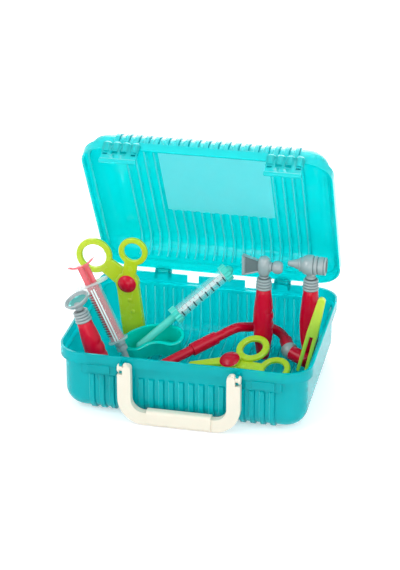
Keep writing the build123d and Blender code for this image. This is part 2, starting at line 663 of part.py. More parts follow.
def tweezers():
    """The tweezers: a rounded back piece with two springy prongs below."""
    radius, height = TWEEZER_TOP
    half = TWEEZER_WIDTH / 2
    shoulders = [Pos(side * (half - SHOULDER_RADIUS), 0) * Circle(SHOULDER_RADIUS) for side in (-1, 1)]
    outline = make_hull((Pos(0, height) * Circle(radius) + shoulders).edges())
    for side in (-1, 1):
        root = (side * (half - PRONG_ROOT / 2 - PRONG_INSET), 0)
        tip = (side * PRONG_SPREAD / 2 - PRONG_LEAN, -PRONG_LENGTH)
        ends = Pos(*root) * Circle(PRONG_ROOT / 2) + Pos(*tip) * Circle(PRONG_TIP / 2)
        outline += make_hull(ends.edges())
    body = extrude(outline, TWEEZER_THICKNESS / 2, both=True)
    body = chamfer(body.edges().group_by(Axis.Z)[-1], TWEEZER_BEVEL)
    return upright(TWEEZERS_SPLIT, TWEEZERS_LEAN) * body


# ================================================================ syringe
BARREL_RADIUS = 8.8
BARREL_BORE = 7.6
SYRINGE_FLANGE_RADIUS = 11.0
FINGER_FLANGE = (39.0, 19.0)
FLANGE_THICKNESS = 2.0
BARREL_LENGTH = 70.0
NOZZLE_LENGTH = 37.2
NOZZLE_RADII = (2.4, 3.6, 6.2)
NOZZLE_COLLAR = 11.0
PLUNGER_CROSS = 13.0
PLUNGER_FIN = 2.0
PLUNGER_SEAL = 6.0
THUMB_SPAN = 33.0
THUMB_SAG = 5.4
THUMB_THICKNESS = 2.2
THUMB_WIDTH = 8.0


def along(start, run):
    """A pose at the start with +Z along a run, and +X as level as that leaves it."""
    return Plane(origin=start, x_dir=(1, 0, 0), z_dir=run).location


def between(start, end):
    """The straight run from one point to another."""
    return Vector(*end) - Vector(*start)


SYRINGE_POSE = along(SYRINGE_FLANGE, SYRINGE_RUN)
PLUNGER_REACH = Vector(*SYRINGE_RUN).length


def syringe_barrel():
    """The clear barrel with its round lower flange and oval finger flange."""
    barrel = Pos(0, 0, BARREL_LENGTH / 2) * Cylinder(BARREL_RADIUS, BARREL_LENGTH)
    barrel += Pos(0, 0, FLANGE_THICKNESS / 2) * Cylinder(SYRINGE_FLANGE_RADIUS, FLANGE_THICKNESS)
    oval = RectangleRounded(*FINGER_FLANGE, FINGER_FLANGE[1] / 2 - 0.1)
    barrel += Pos(0, 0, BARREL_LENGTH - FLANGE_THICKNESS) * extrude(oval, FLANGE_THICKNESS)
    bore = Pos(0, 0, BARREL_LENGTH / 2 + FLANGE_THICKNESS) * Cylinder(BARREL_BORE, BARREL_LENGTH)
    return SYRINGE_POSE * (barrel - bore)


def syringe_nozzle():
    """The blunt nozzle and its collar, seated under the lower flange."""
    tip, shoulder, wide = NOZZLE_RADII
    outline = Polyline(
        (0, 0, -NOZZLE_LENGTH),
        (tip, 0, -NOZZLE_LENGTH),
        (shoulder, 0, -NOZZLE_COLLAR),
        (wide, 0, -NOZZLE_COLLAR),
        (wide, 0, -NOZZLE_COLLAR * 0.6),
        (wide - 1, 0, -NOZZLE_COLLAR * 0.5),
        (wide, 0, -NOZZLE_COLLAR * 0.4),
        (wide, 0, 0),
        (0, 0, 0),
        close=True,
    )
    return SYRINGE_POSE * revolve(make_face(outline), Axis.Z)


def syringe_plunger():
    """The plunger: a cross-shaped stem with a round seal and a curved thumb rest."""
    low = FLANGE_THICKNESS + SEAT_GAP
    stem_length = PLUNGER_REACH - low
    middle = low + stem_length / 2
    plunger = Pos(0, 0, middle) * (
        Box(PLUNGER_CROSS, PLUNGER_FIN, stem_length) + Box(PLUNGER_FIN, PLUNGER_CROSS, stem_length)
    )
    plunger += Pos(0, 0, low + PLUNGER_SEAL / 2) * Cylinder(BARREL_BORE - ROD_CLEARANCE, PLUNGER_SEAL)
    half, sag = THUMB_SPAN / 2, THUMB_SAG
    radius = (half**2 + sag**2) / (2 * sag)
    ring = Circle(radius) - Circle(radius - THUMB_THICKNESS)
    arc = Pos(0, radius) * ring - Pos(0, sag + radius) * Rectangle(4 * radius, 2 * radius)
    rest = extrude(Plane.XZ * arc, THUMB_WIDTH / 2, both=True)
    return SYRINGE_POSE * (plunger + Pos(0, 0, PLUNGER_REACH - THUMB_THICKNESS / 2) * rest)


# ================================================================ kidney dish
DISH_LENGTH = 66.0
DISH_WIDTH = 26.0
DISH_SAG = 6.0
DISH_DEPTH = 24.6
DISH_DRAFT = 2.4
DISH_WALL = 1.8
DISH_LIP = 1.5
DISH_LIP_HEIGHT = 2.6
DISH_LIP_BEVEL = 0.78


def kidney(width):
    """A kidney outline of a given width about the dish's bent middle line, concave towards -Y."""
    chord = DISH_LENGTH - DISH_WIDTH
    radius = ((chord / 2) ** 2 + DISH_SAG**2) / (2 * DISH_SAG)
    sweep = degrees(atan2(chord / 2, radius - DISH_SAG))
    middle = CenterArc((0, DISH_SAG / 2 - radius), radius, 90 - sweep, 2 * sweep)
    return SlotArc(middle, width)


def dish_solid(shrink, low, high):
    """The dish's tapering body, drawn in all round by an amount."""
    bottom = Pos(0, 0, low) * kidney(DISH_WIDTH - 2 * DISH_DRAFT - 2 * shrink)
    top = Pos(0, 0, high) * kidney(DISH_WIDTH - 2 * shrink)
    return loft([bottom.face(), top.face()], ruled=True)


DISH_POSE = Pos(*DISH_RIM_CENTRE) * Rot(DISH_TILT, 0, 0) * Rot(0, 0, DISH_TURN) * Pos(0, 0, -DISH_DEPTH)


def kidney_dish():
    """The kidney dish, with a rolled lip, tilted on its front edge."""
    dish = dish_solid(0, 0, DISH_DEPTH)
    lip = extrude(kidney(DISH_WIDTH + 2 * DISH_LIP), -DISH_LIP_HEIGHT)
    dish += Pos(0, 0, DISH_DEPTH) * chamfer(lip.edges().filter_by(GeomType.CIRCLE), DISH_LIP_BEVEL)
    return DISH_POSE * (dish - dish_solid(DISH_WALL, DISH_WALL, DISH_DEPTH))


# ================================================================ thermometer
STEM_RADIUS = 4.4
STEM_LENGTH = 48.3
KNURL_RADIUS = 10.2
KNURL_HEIGHT = 7.6
KNURLS = 14
KNURL_NOTCH = 1.1
KNURL_SHARE = 0.25
TUBE_RADIUS = 8.0
TUBE_BORE = 6.6
SCALE_WIDTH = 7.0
SCALE_THICKNESS = 1.2
DOME_RADIUS = 5.4
THERMOMETER_POSE = along(THERMOMETER_FOOT, THERMOMETER_RUN)
THERMOMETER_LENGTH = Vector(*THERMOMETER_RUN).length
TUBE_START = STEM_LENGTH + KNURL_HEIGHT
TUBE_END = THERMOMETER_LENGTH - KNURL_HEIGHT - DOME_RADIUS


def knurled(height):
    """A knurled ring standing on z = 0."""
    corners = []
    for n in range(2 * KNURLS):
        radius = KNURL_RADIUS - (n % 2) * KNURL_NOTCH
        for side in (-1, 1):
            turn = pi * (n + side * KNURL_SHARE) / KNURLS
            corners.append((radius * cos(turn), radius * sin(turn)))
    return extrude(make_face(Polyline(*corners, close=True)), height)


def thermometer_stem():
    """The rounded stem and the knurled ring at its top."""
    stem = Pos(0, 0, STEM_LENGTH / 2) * Cylinder(STEM_RADIUS, STEM_LENGTH) + Sphere(STEM_RADIUS)
    return THERMOMETER_POSE * (stem + Pos(0, 0, STEM_LENGTH) * knurled(KNURL_HEIGHT))


def thermometer_tube():
    """The clear tube between the two knurled rings."""
    length = TUBE_END - TUBE_START
    tube = Cylinder(TUBE_RADIUS, length) - Cylinder(TUBE_BORE, length)
    return THERMOMETER_POSE * Pos(0, 0, TUBE_START + length / 2) * tube


def thermometer_scale():
    """The flat scale strip standing inside the tube."""
    length = TUBE_END - TUBE_START
    return THERMOMETER_POSE * Pos(0, 0, TUBE_START + length / 2) * Box(SCALE_WIDTH, SCALE_THICKNESS, length)


def thermometer_cap():
    """The knurled cap and its small dome."""
    cap = knurled(KNURL_HEIGHT) + Pos(0, 0, KNURL_HEIGHT) * Sphere(DOME_RADIUS)
    reach = (-2 * DOME_RADIUS, 2 * DOME_RADIUS)
    cap -= box(reach, reach, (-2 * DOME_RADIUS, 0))
    return THERMOMETER_POSE * Pos(0, 0, TUBE_END) * cap


# ================================================================ stethoscope
ARCH_RADIUS = 5.4
ARCH_BENDS = (34.0, 19.0)
SLEEVE_RADIUS = 7.2
SLEEVE_SPAN = (52.0, 83.0)
CUFF_RADIUS = 7.2
CUFF_LENGTH = 14.0
BAND_RADIUS = 9.4
BELL_SEAT = 2.4
BELL_RADIUS = 8.0
BELL_ROUND = 3.0


def arch_tube():
    """The stethoscope's stiff tube: three straight runs joined by two bends."""
    route = FilletPolyline(*ARCH_ROUTE, radius=list(ARCH_BENDS))
    start = Plane(origin=route @ 0, z_dir=route % 0)
    return sweep(start * Circle(ARCH_RADIUS), path=route)


def arch_sleeve():
    """The loose sleeve on the tube's long straight run."""
    low, high = SLEEVE_SPAN
    pose = along(ARCH_ROUTE[0], between(ARCH_ROUTE[0], ARCH_ROUTE[1])) * Pos(0, 0, (low + high) / 2)
    return pose * (Cylinder(SLEEVE_RADIUS, high - low) - Cylinder(ARCH_RADIUS + ROD_CLEARANCE, high - low))


def arch_cuff():
    """The cuff over the tube's end."""
    pose = along(ARCH_ROUTE[-1], between(ARCH_ROUTE[-1], ARCH_ROUTE[-2]))
    cuff = Cylinder(CUFF_RADIUS, CUFF_LENGTH) - Cylinder(ARCH_RADIUS + ROD_CLEARANCE, CUFF_LENGTH)
    return pose * Pos(0, 0, CUFF_LENGTH / 2 + SEAT_GAP) * cuff


def chest_band():
    """The ball-shaped band between the cuff and the bell."""
    middle = (Vector(*ARCH_ROUTE[-1]) + Vector(*BELL_START)) / 2
    ball = Pos(*middle) * Sphere(BAND_RADIUS)
    beyond = Pos(0, 0, BAND_RADIUS) * Box(4 * BAND_RADIUS, 4 * BAND_RADIUS, 2 * BAND_RADIUS)
    ball -= along(BELL_START, between(BELL_START, BELL_END)) * Pos(0, 0, BELL_SEAT) * beyond
    return ball - along(ARCH_ROUTE[-1], between(ARCH_ROUTE[-1], ARCH_ROUTE[-2])) * beyond


def chest_bell():
    """The rounded bell at the end."""
    run = between(BELL_START, BELL_END)
    bell = Pos(0, 0, run.length / 2 + BELL_SEAT) * Cylinder(BELL_RADIUS, run.length)
    bell = fillet(bell.edges().group_by(Axis.Z)[-1], BELL_ROUND)
    return along(BELL_START, run) * bell


# ================================================================ output
def mirror_grip():
    """The mirror's grip."""
    return MIRROR_POSE * grip_handle()


def hammer_grip():
    """The hammer's grip."""
    return HAMMER_POSE * grip_handle()


def otoscope_grip():
    """The ear scope's grip."""
    return OTOSCOPE_POSE * grip_handle()


PIECES = {
    "case_base": base_shell,
    "case_lid": lid_shell,
    "carrying_handle": handle_bail,
    "scissors_front_half": scissors_front,
    "scissors_back_half": scissors_back,
    "scissors_rivet": scissors_rivet,
    "syringe_barrel": syringe_barrel,
    "syringe_nozzle": syringe_nozzle,
    "syringe_plunger": syringe_plunger,
    "mirror_grip": mirror_grip,
    "mirror_head": mirror_head,
    "mirror_disc": mirror_disc,
    "kidney_dish": kidney_dish,
    "thermometer_stem": thermometer_stem,
    "thermometer_tube": thermometer_tube,
    "thermometer_scale": thermometer_scale,
    "thermometer_cap": thermometer_cap,
    "stethoscope_tube": arch_tube,
    "stethoscope_sleeve": arch_sleeve,
    "stethoscope_cuff": arch_cuff,
    "stethoscope_band": chest_band,
    "stethoscope_bell": chest_bell,
    "hammer_grip": hammer_grip,
    "hammer_head": hammer_head,
    "otoscope_grip": otoscope_grip,
    "otoscope_head": otoscope_head,
    "tweezers": tweezers,
    "forceps_upper_half": forceps_upper,
    "forceps_lower_half": forceps_lower,
    "forceps_rivet": forceps_rivet,
}


def main():
    """Writes one STEP file per piece."""
    os.makedirs("parts", exist_ok=True)
    for node, make in PIECES.items():
        export_step(Part() + make(), f"parts/{node}.step")


if __name__ == "__main__":
    main()
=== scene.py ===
"""Dresses the toy doctor's case: see-through ribbed shells, a cream handle and a kit of toy instruments.

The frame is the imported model's: +X along the case, +Y towards its hinge, +Z up. Sizes are in millimetres.
MM brings them to metres where a mesh is made.
"""

import json
import logging
import math
from collections.abc import Callable, Iterable
from dataclasses import dataclass, field
from enum import Enum, IntEnum

import bmesh
import bpy
from mathutils import Matrix, Vector

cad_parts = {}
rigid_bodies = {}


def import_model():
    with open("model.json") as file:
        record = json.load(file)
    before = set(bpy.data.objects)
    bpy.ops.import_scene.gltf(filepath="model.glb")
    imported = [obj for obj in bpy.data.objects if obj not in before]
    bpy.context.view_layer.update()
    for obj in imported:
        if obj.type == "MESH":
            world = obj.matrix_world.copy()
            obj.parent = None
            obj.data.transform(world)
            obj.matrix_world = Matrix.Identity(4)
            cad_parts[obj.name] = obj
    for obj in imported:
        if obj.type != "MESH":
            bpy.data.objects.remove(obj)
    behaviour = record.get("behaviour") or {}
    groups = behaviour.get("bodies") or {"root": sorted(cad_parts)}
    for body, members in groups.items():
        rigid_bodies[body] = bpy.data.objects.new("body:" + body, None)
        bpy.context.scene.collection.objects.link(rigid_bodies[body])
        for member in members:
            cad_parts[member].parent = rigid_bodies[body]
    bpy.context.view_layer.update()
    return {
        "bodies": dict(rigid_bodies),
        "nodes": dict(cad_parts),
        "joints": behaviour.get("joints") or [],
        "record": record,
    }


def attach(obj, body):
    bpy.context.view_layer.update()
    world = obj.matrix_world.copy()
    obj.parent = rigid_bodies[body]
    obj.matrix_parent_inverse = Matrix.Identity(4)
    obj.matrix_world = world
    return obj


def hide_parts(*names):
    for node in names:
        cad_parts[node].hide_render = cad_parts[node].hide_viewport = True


MM = 0.001
QUARTER = math.pi / 2
LOG = logging.getLogger("doctor_case")

# Places closer than NEAR, in millimetres, count as one. A face looks along an axis when its normal has more
# than FACING along it.
NEAR = 0.01
FACING = 0.9

Point = tuple[float, float, float]
Colour = tuple[float, float, float]
Ring = tuple[float, float]
Object = bpy.types.Object
Material = bpy.types.Material
Socket = bpy.types.NodeSocket


class Axis(IntEnum):
    """An axis of the frame, as its place in a vector."""

    X = 0
    Y = 1
    Z = 2


class Side(IntEnum):
    """One of two opposite sides, as the sign of its places along an axis."""

    LEFT = -1
    RIGHT = 1

    @property
    def word(self) -> str:
        """The side's word in the names of pieces."""
        return self.name.lower()


class Pick(Enum):
    """What edit mode selects."""

    EDGES = "EDGE"
    FACES = "FACE"


class ShellMark(IntEnum):
    """Which of the case's finishes a face gets: plain, painted highlight, painted shade, rib top or panel."""

    PLAIN = 0
    LIGHT = 1
    DARK = 2
    RIB = 3
    PANEL = 4


class HeadMark(IntEnum):
    """Which of the grey heads' finishes a face gets: plain grey, or painted shade in grooves and hollows."""

    PLAIN = 0
    HOLLOW_PAINTED_SHADE = 1


# ---------------------------------------------------------------- modelling helpers
def deselect() -> None:
    """Leaves object mode and deselects everything."""
    if bpy.context.object and bpy.context.object.mode != "OBJECT":
        bpy.ops.object.mode_set(mode="OBJECT")
    bpy.ops.object.select_all(action="DESELECT")


def activate(obj: Object) -> None:
    """Makes one object the only selected and the active one.

    Args:
        obj: The object.
    """
    deselect()
    obj.select_set(True)
    bpy.context.view_layer.objects.active = obj


def block(name: str, low: Point, high: Point) -> Object:
    """Adds a box between two corners.

    Args:
        name: The new object's name.
        low: Its lowest corner, in millimetres.
        high: Its highest corner, in millimetres.

    Returns:
        The new object, with its size and place in its mesh.
    """
    deselect()
    size = [(b - a) * MM for a, b in zip(low, high)]
    middle = [(a + b) / 2 * MM for a, b in zip(low, high)]
    bpy.ops.mesh.primitive_cube_add(size=1, location=middle, scale=size)
    obj = bpy.context.object
    obj.name = name
    bpy.ops.object.transform_apply(location=True, rotation=True, scale=True)
    return obj


def drum(
    name: str, centre: Point, radius: float, length: float, axis: Axis = Axis.X, sides: int = 32
) -> Object:
    """Adds a cylinder.

    Args:
        name: The new object's name.
        centre: Its middle, in millimetres.
        radius: Its radius, in millimetres.
        length: Its length, in millimetres.
        axis: The axis that it lies along.
        sides: How many sides it has.

    Returns:
        The new object, with its place in its mesh.
    """
    deselect()
    turns = {Axis.X: (0, QUARTER, 0), Axis.Y: (QUARTER, 0, 0), Axis.Z: (0, 0, 0)}
    place = [v * MM for v in centre]
    bpy.ops.mesh.primitive_cylinder_add(
        vertices=sides, radius=radius * MM, depth=length * MM, location=place, rotation=turns[axis]
    )
    obj = bpy.context.object
    obj.name = name
    bpy.ops.object.transform_apply(location=True, rotation=True, scale=True)
    return obj


def choose_edges(obj: Object, test: Callable[[Vector, Vector], bool]) -> None:
    """Selects the edges of the object in edit mode whose two ends, in millimetres, pass a test.

    Args:
        obj: The object in edit mode.
        test: The test, of an edge's two ends.
    """
    mesh = bmesh.from_edit_mesh(obj.data)
    bpy.ops.mesh.select_all(action="DESELECT")
    for edge in mesh.edges:
        if test(*(v.co / MM for v in edge.verts)):
            edge.select = True
    mesh.select_flush_mode()
    bmesh.update_edit_mesh(obj.data)


def choose_faces(obj: Object, test: Callable[[Vector, Vector], bool]) -> None:
    """Selects the faces of the object in edit mode whose middle, in millimetres, and normal pass a test.

    Args:
        obj: The object in edit mode.
        test: The test, of a face's middle and normal.
    """
    mesh = bmesh.from_edit_mesh(obj.data)
    bpy.ops.mesh.select_all(action="DESELECT")
    for face in mesh.faces:
        if test(face.calc_center_median() / MM, face.normal):
            face.select = True
    mesh.select_flush_mode()
    bmesh.update_edit_mesh(obj.data)


def edit(obj: Object, pick: Pick = Pick.EDGES) -> None:
    """Opens an object in edit mode, ready to select edges or faces.

    Args:
        obj: The object.
        pick: What is to be selected.
    """
    activate(obj)
    bpy.ops.object.mode_set(mode="EDIT")
    bpy.ops.mesh.select_mode(type=pick.value)


def shade_smooth(obj: Object, angle: float = 50.0) -> None:
    """Shades an object smooth, apart from edges sharper than an angle in degrees."""
    activate(obj)
    bpy.ops.object.shade_smooth_by_angle(angle=math.radians(angle))


def choose_all() -> None:
    """Selects the whole mesh in edit mode."""
    bpy.ops.mesh.select_all(action="SELECT")


def cut(places: Iterable[float], axis: Axis) -> None:
    """Cuts the mesh in edit mode with planes across an axis, at places in millimetres.

    Args:
        places: Where the planes cross the axis.
        axis: The axis that the planes stand across.
    """
    for place in places:
        point, normal = [0.0, 0.0, 0.0], [0.0, 0.0, 0.0]
        point[axis], normal[axis] = place * MM, 1.0
        choose_all()
        bpy.ops.mesh.bisect(plane_co=point, plane_no=normal)


def soften(obj: Object, width: float, segments: int = 2, angle: float = 35.0) -> None:
    """Rounds an object's sharp edges by a width in millimetres and shades it smooth.

    Args:
        obj: The object.
        width: How far the rounding reaches from an edge.
        segments: How many faces each rounding has.
        angle: The least angle in degrees of an edge that is rounded.
    """
    activate(obj)
    bevel = obj.modifiers.new("rounding", "BEVEL")
    bevel.width = width * MM
    bevel.segments = segments
    bevel.limit_method = "ANGLE"
    bevel.angle_limit = math.radians(angle)
    bevel.use_clamp_overlap = True
    bpy.ops.object.modifier_apply(modifier="rounding")
    shade_smooth(obj)
    weights = obj.modifiers.new("weights", "WEIGHTED_NORMAL")
    weights.keep_sharp = True
    bpy.ops.object.modifier_apply(modifier="weights")


def join(name: str, parts: list[Object]) -> Object:
    """Joins objects into one.

    Args:
        name: The joined object's name.
        parts: The objects to join.

    Returns:
        The joined object.
    """
    deselect()
    for part in parts:
        part.select_set(True)
    bpy.context.view_layer.objects.active = parts[0]
    bpy.ops.object.join()
    parts[0].name = name
    return parts[0]


@dataclass
class Turned:
    """A round piece about +Z, grown from its foot through rings of a radius and a height."""

    name: str
    rings: list[Ring]
    sides: int = 48

    def build(self, pose: Matrix) -> Object:
        """Builds the piece and puts it in a pose.

        Args:
            pose: Where its +Z axis goes.

        Returns:
            The new object, with its place in its mesh.
        """
        (radius, height), *rest = self.rings
        deselect()
        bpy.ops.mesh.primitive_circle_add(
            vertices=self.sides, radius=radius * MM, fill_type="NGON", location=(0, 0, height * MM)
        )
        piece = bpy.context.object
        piece.name = self.name
        bpy.ops.object.transform_apply(location=True, rotation=True, scale=True)
        edit(piece, Pick.FACES)
        choose_all()
        for wide, high in rest:
            bpy.ops.mesh.extrude_region_move(TRANSFORM_OT_translate={"value": (0, 0, (high - height) * MM)})
            share = wide / radius
            bpy.ops.transform.resize(value=(share, share, 1), center_override=(0, 0, high * MM))
            radius, height = wide, high
        choose_all()
        bpy.ops.mesh.normals_make_consistent(inside=False)
        deselect()
        piece.data.transform(pose)
        shade_smooth(piece, 42.0)
        return piece


def bead(radius: float, low: float, high: float, rise: float) -> list[Ring]:
    """The rings of a rounded bead that stands proud of a radius between two heights."""
    turns = (0.0, 0.12, 0.3, 0.5, 0.7, 0.88, 1.0)
    return [(radius + rise * math.sin(math.pi * t) ** 0.5, low + (high - low) * t) for t in turns]


def oval(radius: float, low: float, high: float, ends: float, fullness: float = 0.5) -> list[Ring]:
    """The rings of a rounded body between two heights that closes to a radius at both ends.

    Args:
        radius: The radius half way up.
        low: The height of the foot.
        high: The height of the top.
        ends: The radius at both ends.
        fullness: 0.5 for an ellipse, and less for a fuller body.

    Returns:
        The rings, from the foot to the top.
    """
    rings, steps = [], 12
    for n in range(steps + 1):
        angle = math.pi * n / steps
        wide = ends + (radius - ends) * math.sin(angle) ** (2 * fullness)
        rings.append((wide, (low + high) / 2 - (high - low) / 2 * math.cos(angle)))
    return rings


def put_on(piece: Object, materials: Iterable[Material]) -> None:
    """Gives a piece its materials, each on the faces marked for it.

    Args:
        piece: The piece.
        materials: Its finishes, in the order of its marks.
    """
    materials = list(materials)
    marks = piece.data.attributes.get("finish")
    if marks:
        slots = [mark.value for mark in marks.data]
        piece.data.attributes.remove(marks)
    else:
        slots = [face.material_index for face in piece.data.polygons]
    piece.data.materials.clear()
    for material in materials:
        piece.data.materials.append(material)
    for face, slot in zip(piece.data.polygons, slots):
        face.material_index = min(slot, len(materials) - 1)


def mark_where(piece: Object, test: Callable[[Vector, Vector], bool], mark: IntEnum) -> None:
    """Marks the faces whose middle, in millimetres, and normal pass a test. The marks outlast a join.

    Args:
        piece: The piece.
        test: The test, of a face's middle and normal.
        mark: Which finish the faces get.
    """
    marks = piece.data.attributes.get("finish") or piece.data.attributes.new("finish", "INT", "FACE")
    for face in piece.data.polygons:
        if test(face.center / MM, face.normal):
            marks.data[face.index].value = mark


def hand_over(piece: Object, body: str, materials: Iterable[Material]) -> None:
    """Gives a piece its materials and its body.

    Args:
        piece: The finished piece.
        body: The body that it moves with.
        materials: Its finishes, in the order of its marks.
    """
    put_on(piece, materials)
    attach(piece, body)
    LOG.info("%s rides on %s", piece.name, body)


# ---------------------------------------------------------------- finishes
class Nodes:
    """A material's node tree, with short ways to add to it."""

    def __init__(self, name: str) -> None:
        """Starts a material with a Principled shader.

        Args:
            name: The material's name.
        """
        self.material = bpy.data.materials.new(name)
        self.material.use_nodes = True
        self.tree = self.material.node_tree
        self.shader = self.tree.nodes["Principled BSDF"]
        self.coordinates = self.tree.nodes.new("ShaderNodeTexCoord").outputs["Object"]

    def link(self, source: Socket, target: Socket) -> None:
        """Joins two sockets."""
        self.tree.links.new(source, target)

    def noise(self, scale: float, detail: float) -> Socket:
        """Adds noise on Object coordinates and returns its factor.

        Args:
            scale: How fine the noise is, per metre.
            detail: How many finer layers it has.

        Returns:
            A value from 0 to 1.
        """
        texture = self.tree.nodes.new("ShaderNodeTexNoise")
        texture.inputs["Scale"].default_value = scale
        texture.inputs["Detail"].default_value = detail
        self.link(self.coordinates, texture.inputs["Vector"])
        return texture.outputs["Fac"]

    def mix(self, factor: Socket, first: Colour, second: Colour) -> Socket:
        """Adds a ramp between two colours and returns its colour.

        Args:
            factor: A value from 0 to 1.
            first: The colour at 0.
            second: The colour at 1.

        Returns:
            The colour.
        """
        ramp = self.tree.nodes.new("ShaderNodeValToRGB")
        ramp.color_ramp.elements[0].color = (*first, 1)
        ramp.color_ramp.elements[1].color = (*second, 1)
        self.link(factor, ramp.inputs["Fac"])
        return ramp.outputs["Color"]

    def number(self, factor: Socket, low: float, high: float) -> Socket:
        """Adds a map from 0..1 to a range and returns its result.

        Args:
            factor: A value from 0 to 1.
            low: The number at 0.
            high: The number at 1.

        Returns:
            The number.
        """
        span = self.tree.nodes.new("ShaderNodeMapRange")
        span.inputs["To Min"].default_value = low
        span.inputs["To Max"].default_value = high
        self.link(factor, span.inputs["Value"])
        return span.outputs["Result"]

    def math(self, kind: str, first: Socket, second: "Socket | float" = 0.0) -> Socket:
        """Adds a sum on two values and returns its result.

        Args:
            kind: The name of Blender's operation.
            first: The first value.
            second: The second value, as a socket or a number.

        Returns:
            The result.
        """
        node = self.tree.nodes.new("ShaderNodeMath")
        node.operation = kind
        self.link(first, node.inputs[0])
        if isinstance(second, (int, float)):
            node.inputs[1].default_value = second
        else:
            self.link(second, node.inputs[1])
        return node.outputs["Value"]

    def local(self, pose: Matrix) -> dict[str, Socket]:
        """Adds coordinates in a pose's own frame and returns their X, Y and Z.

        Args:
            pose: The frame, in the object's coordinates.

        Returns:
            The three coordinates by the names of their axes.
        """
        inverse = pose.inverted()
        mapping = self.tree.nodes.new("ShaderNodeMapping")
        mapping.inputs["Location"].default_value = inverse.to_translation()
        mapping.inputs["Rotation"].default_value = inverse.to_euler()
        split = self.tree.nodes.new("ShaderNodeSeparateXYZ")
        self.link(self.coordinates, mapping.inputs["Vector"])
        self.link(mapping.outputs["Vector"], split.inputs["Vector"])
        return {axis: split.outputs[axis] for axis in "XYZ"}

    def both(self, first: Socket, second: Socket) -> Socket:
        """Adds 1 where two masks are 1, and 0 elsewhere."""
        return self.math("MULTIPLY", first, second)

    def between(self, value: Socket, low: float, high: float) -> Socket:
        """Adds 1 where a value lies between two places in millimetres, and 0 elsewhere."""
        above = self.math("GREATER_THAN", value, low * MM)
        return self.both(above, self.math("LESS_THAN", value, high * MM))

    def ticks(self, value: Socket, pitch: float, share: float) -> Socket:
        """Adds 1 on lines that repeat every pitch, in millimetres, and take up a share of it."""
        step = self.math("FRACT", self.math("MULTIPLY", value, 1 / (pitch * MM)))
        return self.math("LESS_THAN", step, share)

    def paint(self, mask: Socket, colour: Colour) -> None:
        """Paints an opaque colour where a mask is 1.

        Args:
            mask: A value that is 0 or 1.
            colour: The paint.
        """
        base, alpha = self.shader.inputs["Base Color"], self.shader.inputs["Alpha"]
        mix = self.tree.nodes.new("ShaderNodeMix")
        mix.data_type = "RGBA"
        first, second = (s for s in mix.inputs if s.type == "RGBA")
        self.link(mask, mix.inputs["Factor"])
        self.link(base.links[0].from_socket, first)
        second.default_value = (*colour, 1)
        self.link(next(s for s in mix.outputs if s.type == "RGBA"), base)
        under = alpha.links[0].from_socket if alpha.links else alpha.default_value
        self.link(self.math("MAXIMUM", mask, under), alpha)

    def bump(self, height: Socket, strength: float, depth: float) -> None:
        """Adds a bump of a depth in millimetres.

        Args:
            height: A value from 0 to 1.
            strength: The share of the bump that shows.
            depth: How deep it is.
        """
        node = self.tree.nodes.new("ShaderNodeBump")
        node.inputs["Strength"].default_value = strength
        node.inputs["Distance"].default_value = depth * MM
        self.link(height, node.inputs["Height"])
        self.link(node.outputs["Normal"], self.shader.inputs["Normal"])


@dataclass(frozen=True)
class Plastic:
    """A moulded plastic: two close colours, a roughness that varies and a faint grain.

    The glow is the share of light that wanders inside the wall, and alpha is below 1 for thin clear walls.
    """

    name: str
    colour: Colour
    other: Colour
    roughness: tuple[float, float]
    clear: float = 0.0
    refraction: float = 1.45
    glow: float = 0.0
    coat: float = 0.0
    alpha: float = 1.0
    shine: float = 0.5

    def nodes(self) -> Nodes:
        """Builds the material's nodes, ready for markings.

        Returns:
            The nodes, with the shader set.
        """
        made = Nodes(self.name)
        inputs = made.shader.inputs
        blotches, smears, grain = made.noise(38, 2), made.noise(90, 4), made.noise(420, 3)
        made.link(made.mix(blotches, self.colour, self.other), inputs["Base Color"])
        made.link(made.number(smears, *self.roughness), inputs["Roughness"])
        made.bump(grain, strength=0.2, depth=0.01)
        constants = {
            "Specular IOR Level": self.shine,
            "IOR": self.refraction,
            "Transmission Weight": self.clear,
            "Coat Weight": self.coat,
            "Coat Roughness": 0.06,
            "Alpha": self.alpha,
        }
        if self.glow:
            constants["Subsurface Weight"] = self.glow
            constants["Subsurface Radius"] = (0.2, 1.0, 1.0)
            constants["Subsurface Scale"] = 6 * MM
        for socket, value in constants.items():
            inputs[socket].default_value = value
        return made

    def material(self) -> Material:
        """Builds the plain material."""
        return self.nodes().material


@dataclass(frozen=True)
class LidPlastic(Plastic):
    roughness: tuple[float, float] = (0.16, 0.24)
    clear: float = 0.42
    refraction: float = 1.2
    glow: float = 0.5
    shine: float = 0.2


@dataclass(frozen=True)
class BasePlastic(LidPlastic):
    """The base's deeper see-through teal."""

    roughness: tuple[float, float] = (0.14, 0.22)
    clear: float = 0.6
    refraction: float = 1.15
    glow: float = 0.4
    coat: float = 0.2


TEAL = LidPlastic("teal_lid", (0.0, 0.80, 0.82), (0.0, 0.86, 0.88), coat=0.5)
# The light and dark lid teals are a painted highlight and painted shade for the ribs' flanks and the latch
# tabs.
TEAL_PAINTED_HIGHLIGHT = LidPlastic(
    "teal_lid_painted_highlight", (0.16, 0.93, 0.94), (0.24, 0.97, 0.97), (0.12, 0.2), clear=0.2, coat=0.5, shine=0.4
)
TEAL_PAINTED_SHADE = LidPlastic("teal_lid_painted_shade", (0.0, 0.40, 0.46), (0.0, 0.45, 0.51), clear=0.2, coat=0.1, glow=0.3)
TEAL_RIB = LidPlastic("teal_lid_rib", (0.0, 0.76, 0.79), (0.0, 0.81, 0.84), coat=0.5)
FROSTED = LidPlastic("frosted_panel", (0.17, 0.80, 0.84), (0.22, 0.83, 0.87), (0.35, 0.45), clear=0.3)
BASE = BasePlastic("teal_base", (0.0, 0.62, 0.66), (0.0, 0.67, 0.71))
# The light and dark base teals are a painted highlight and painted shade for the ribs' flanks.
BASE_PAINTED_HIGHLIGHT = BasePlastic(
    "teal_base_painted_highlight", (0.10, 0.86, 0.88), (0.16, 0.90, 0.92), (0.12, 0.2), clear=0.35, coat=0.3, shine=0.3
)
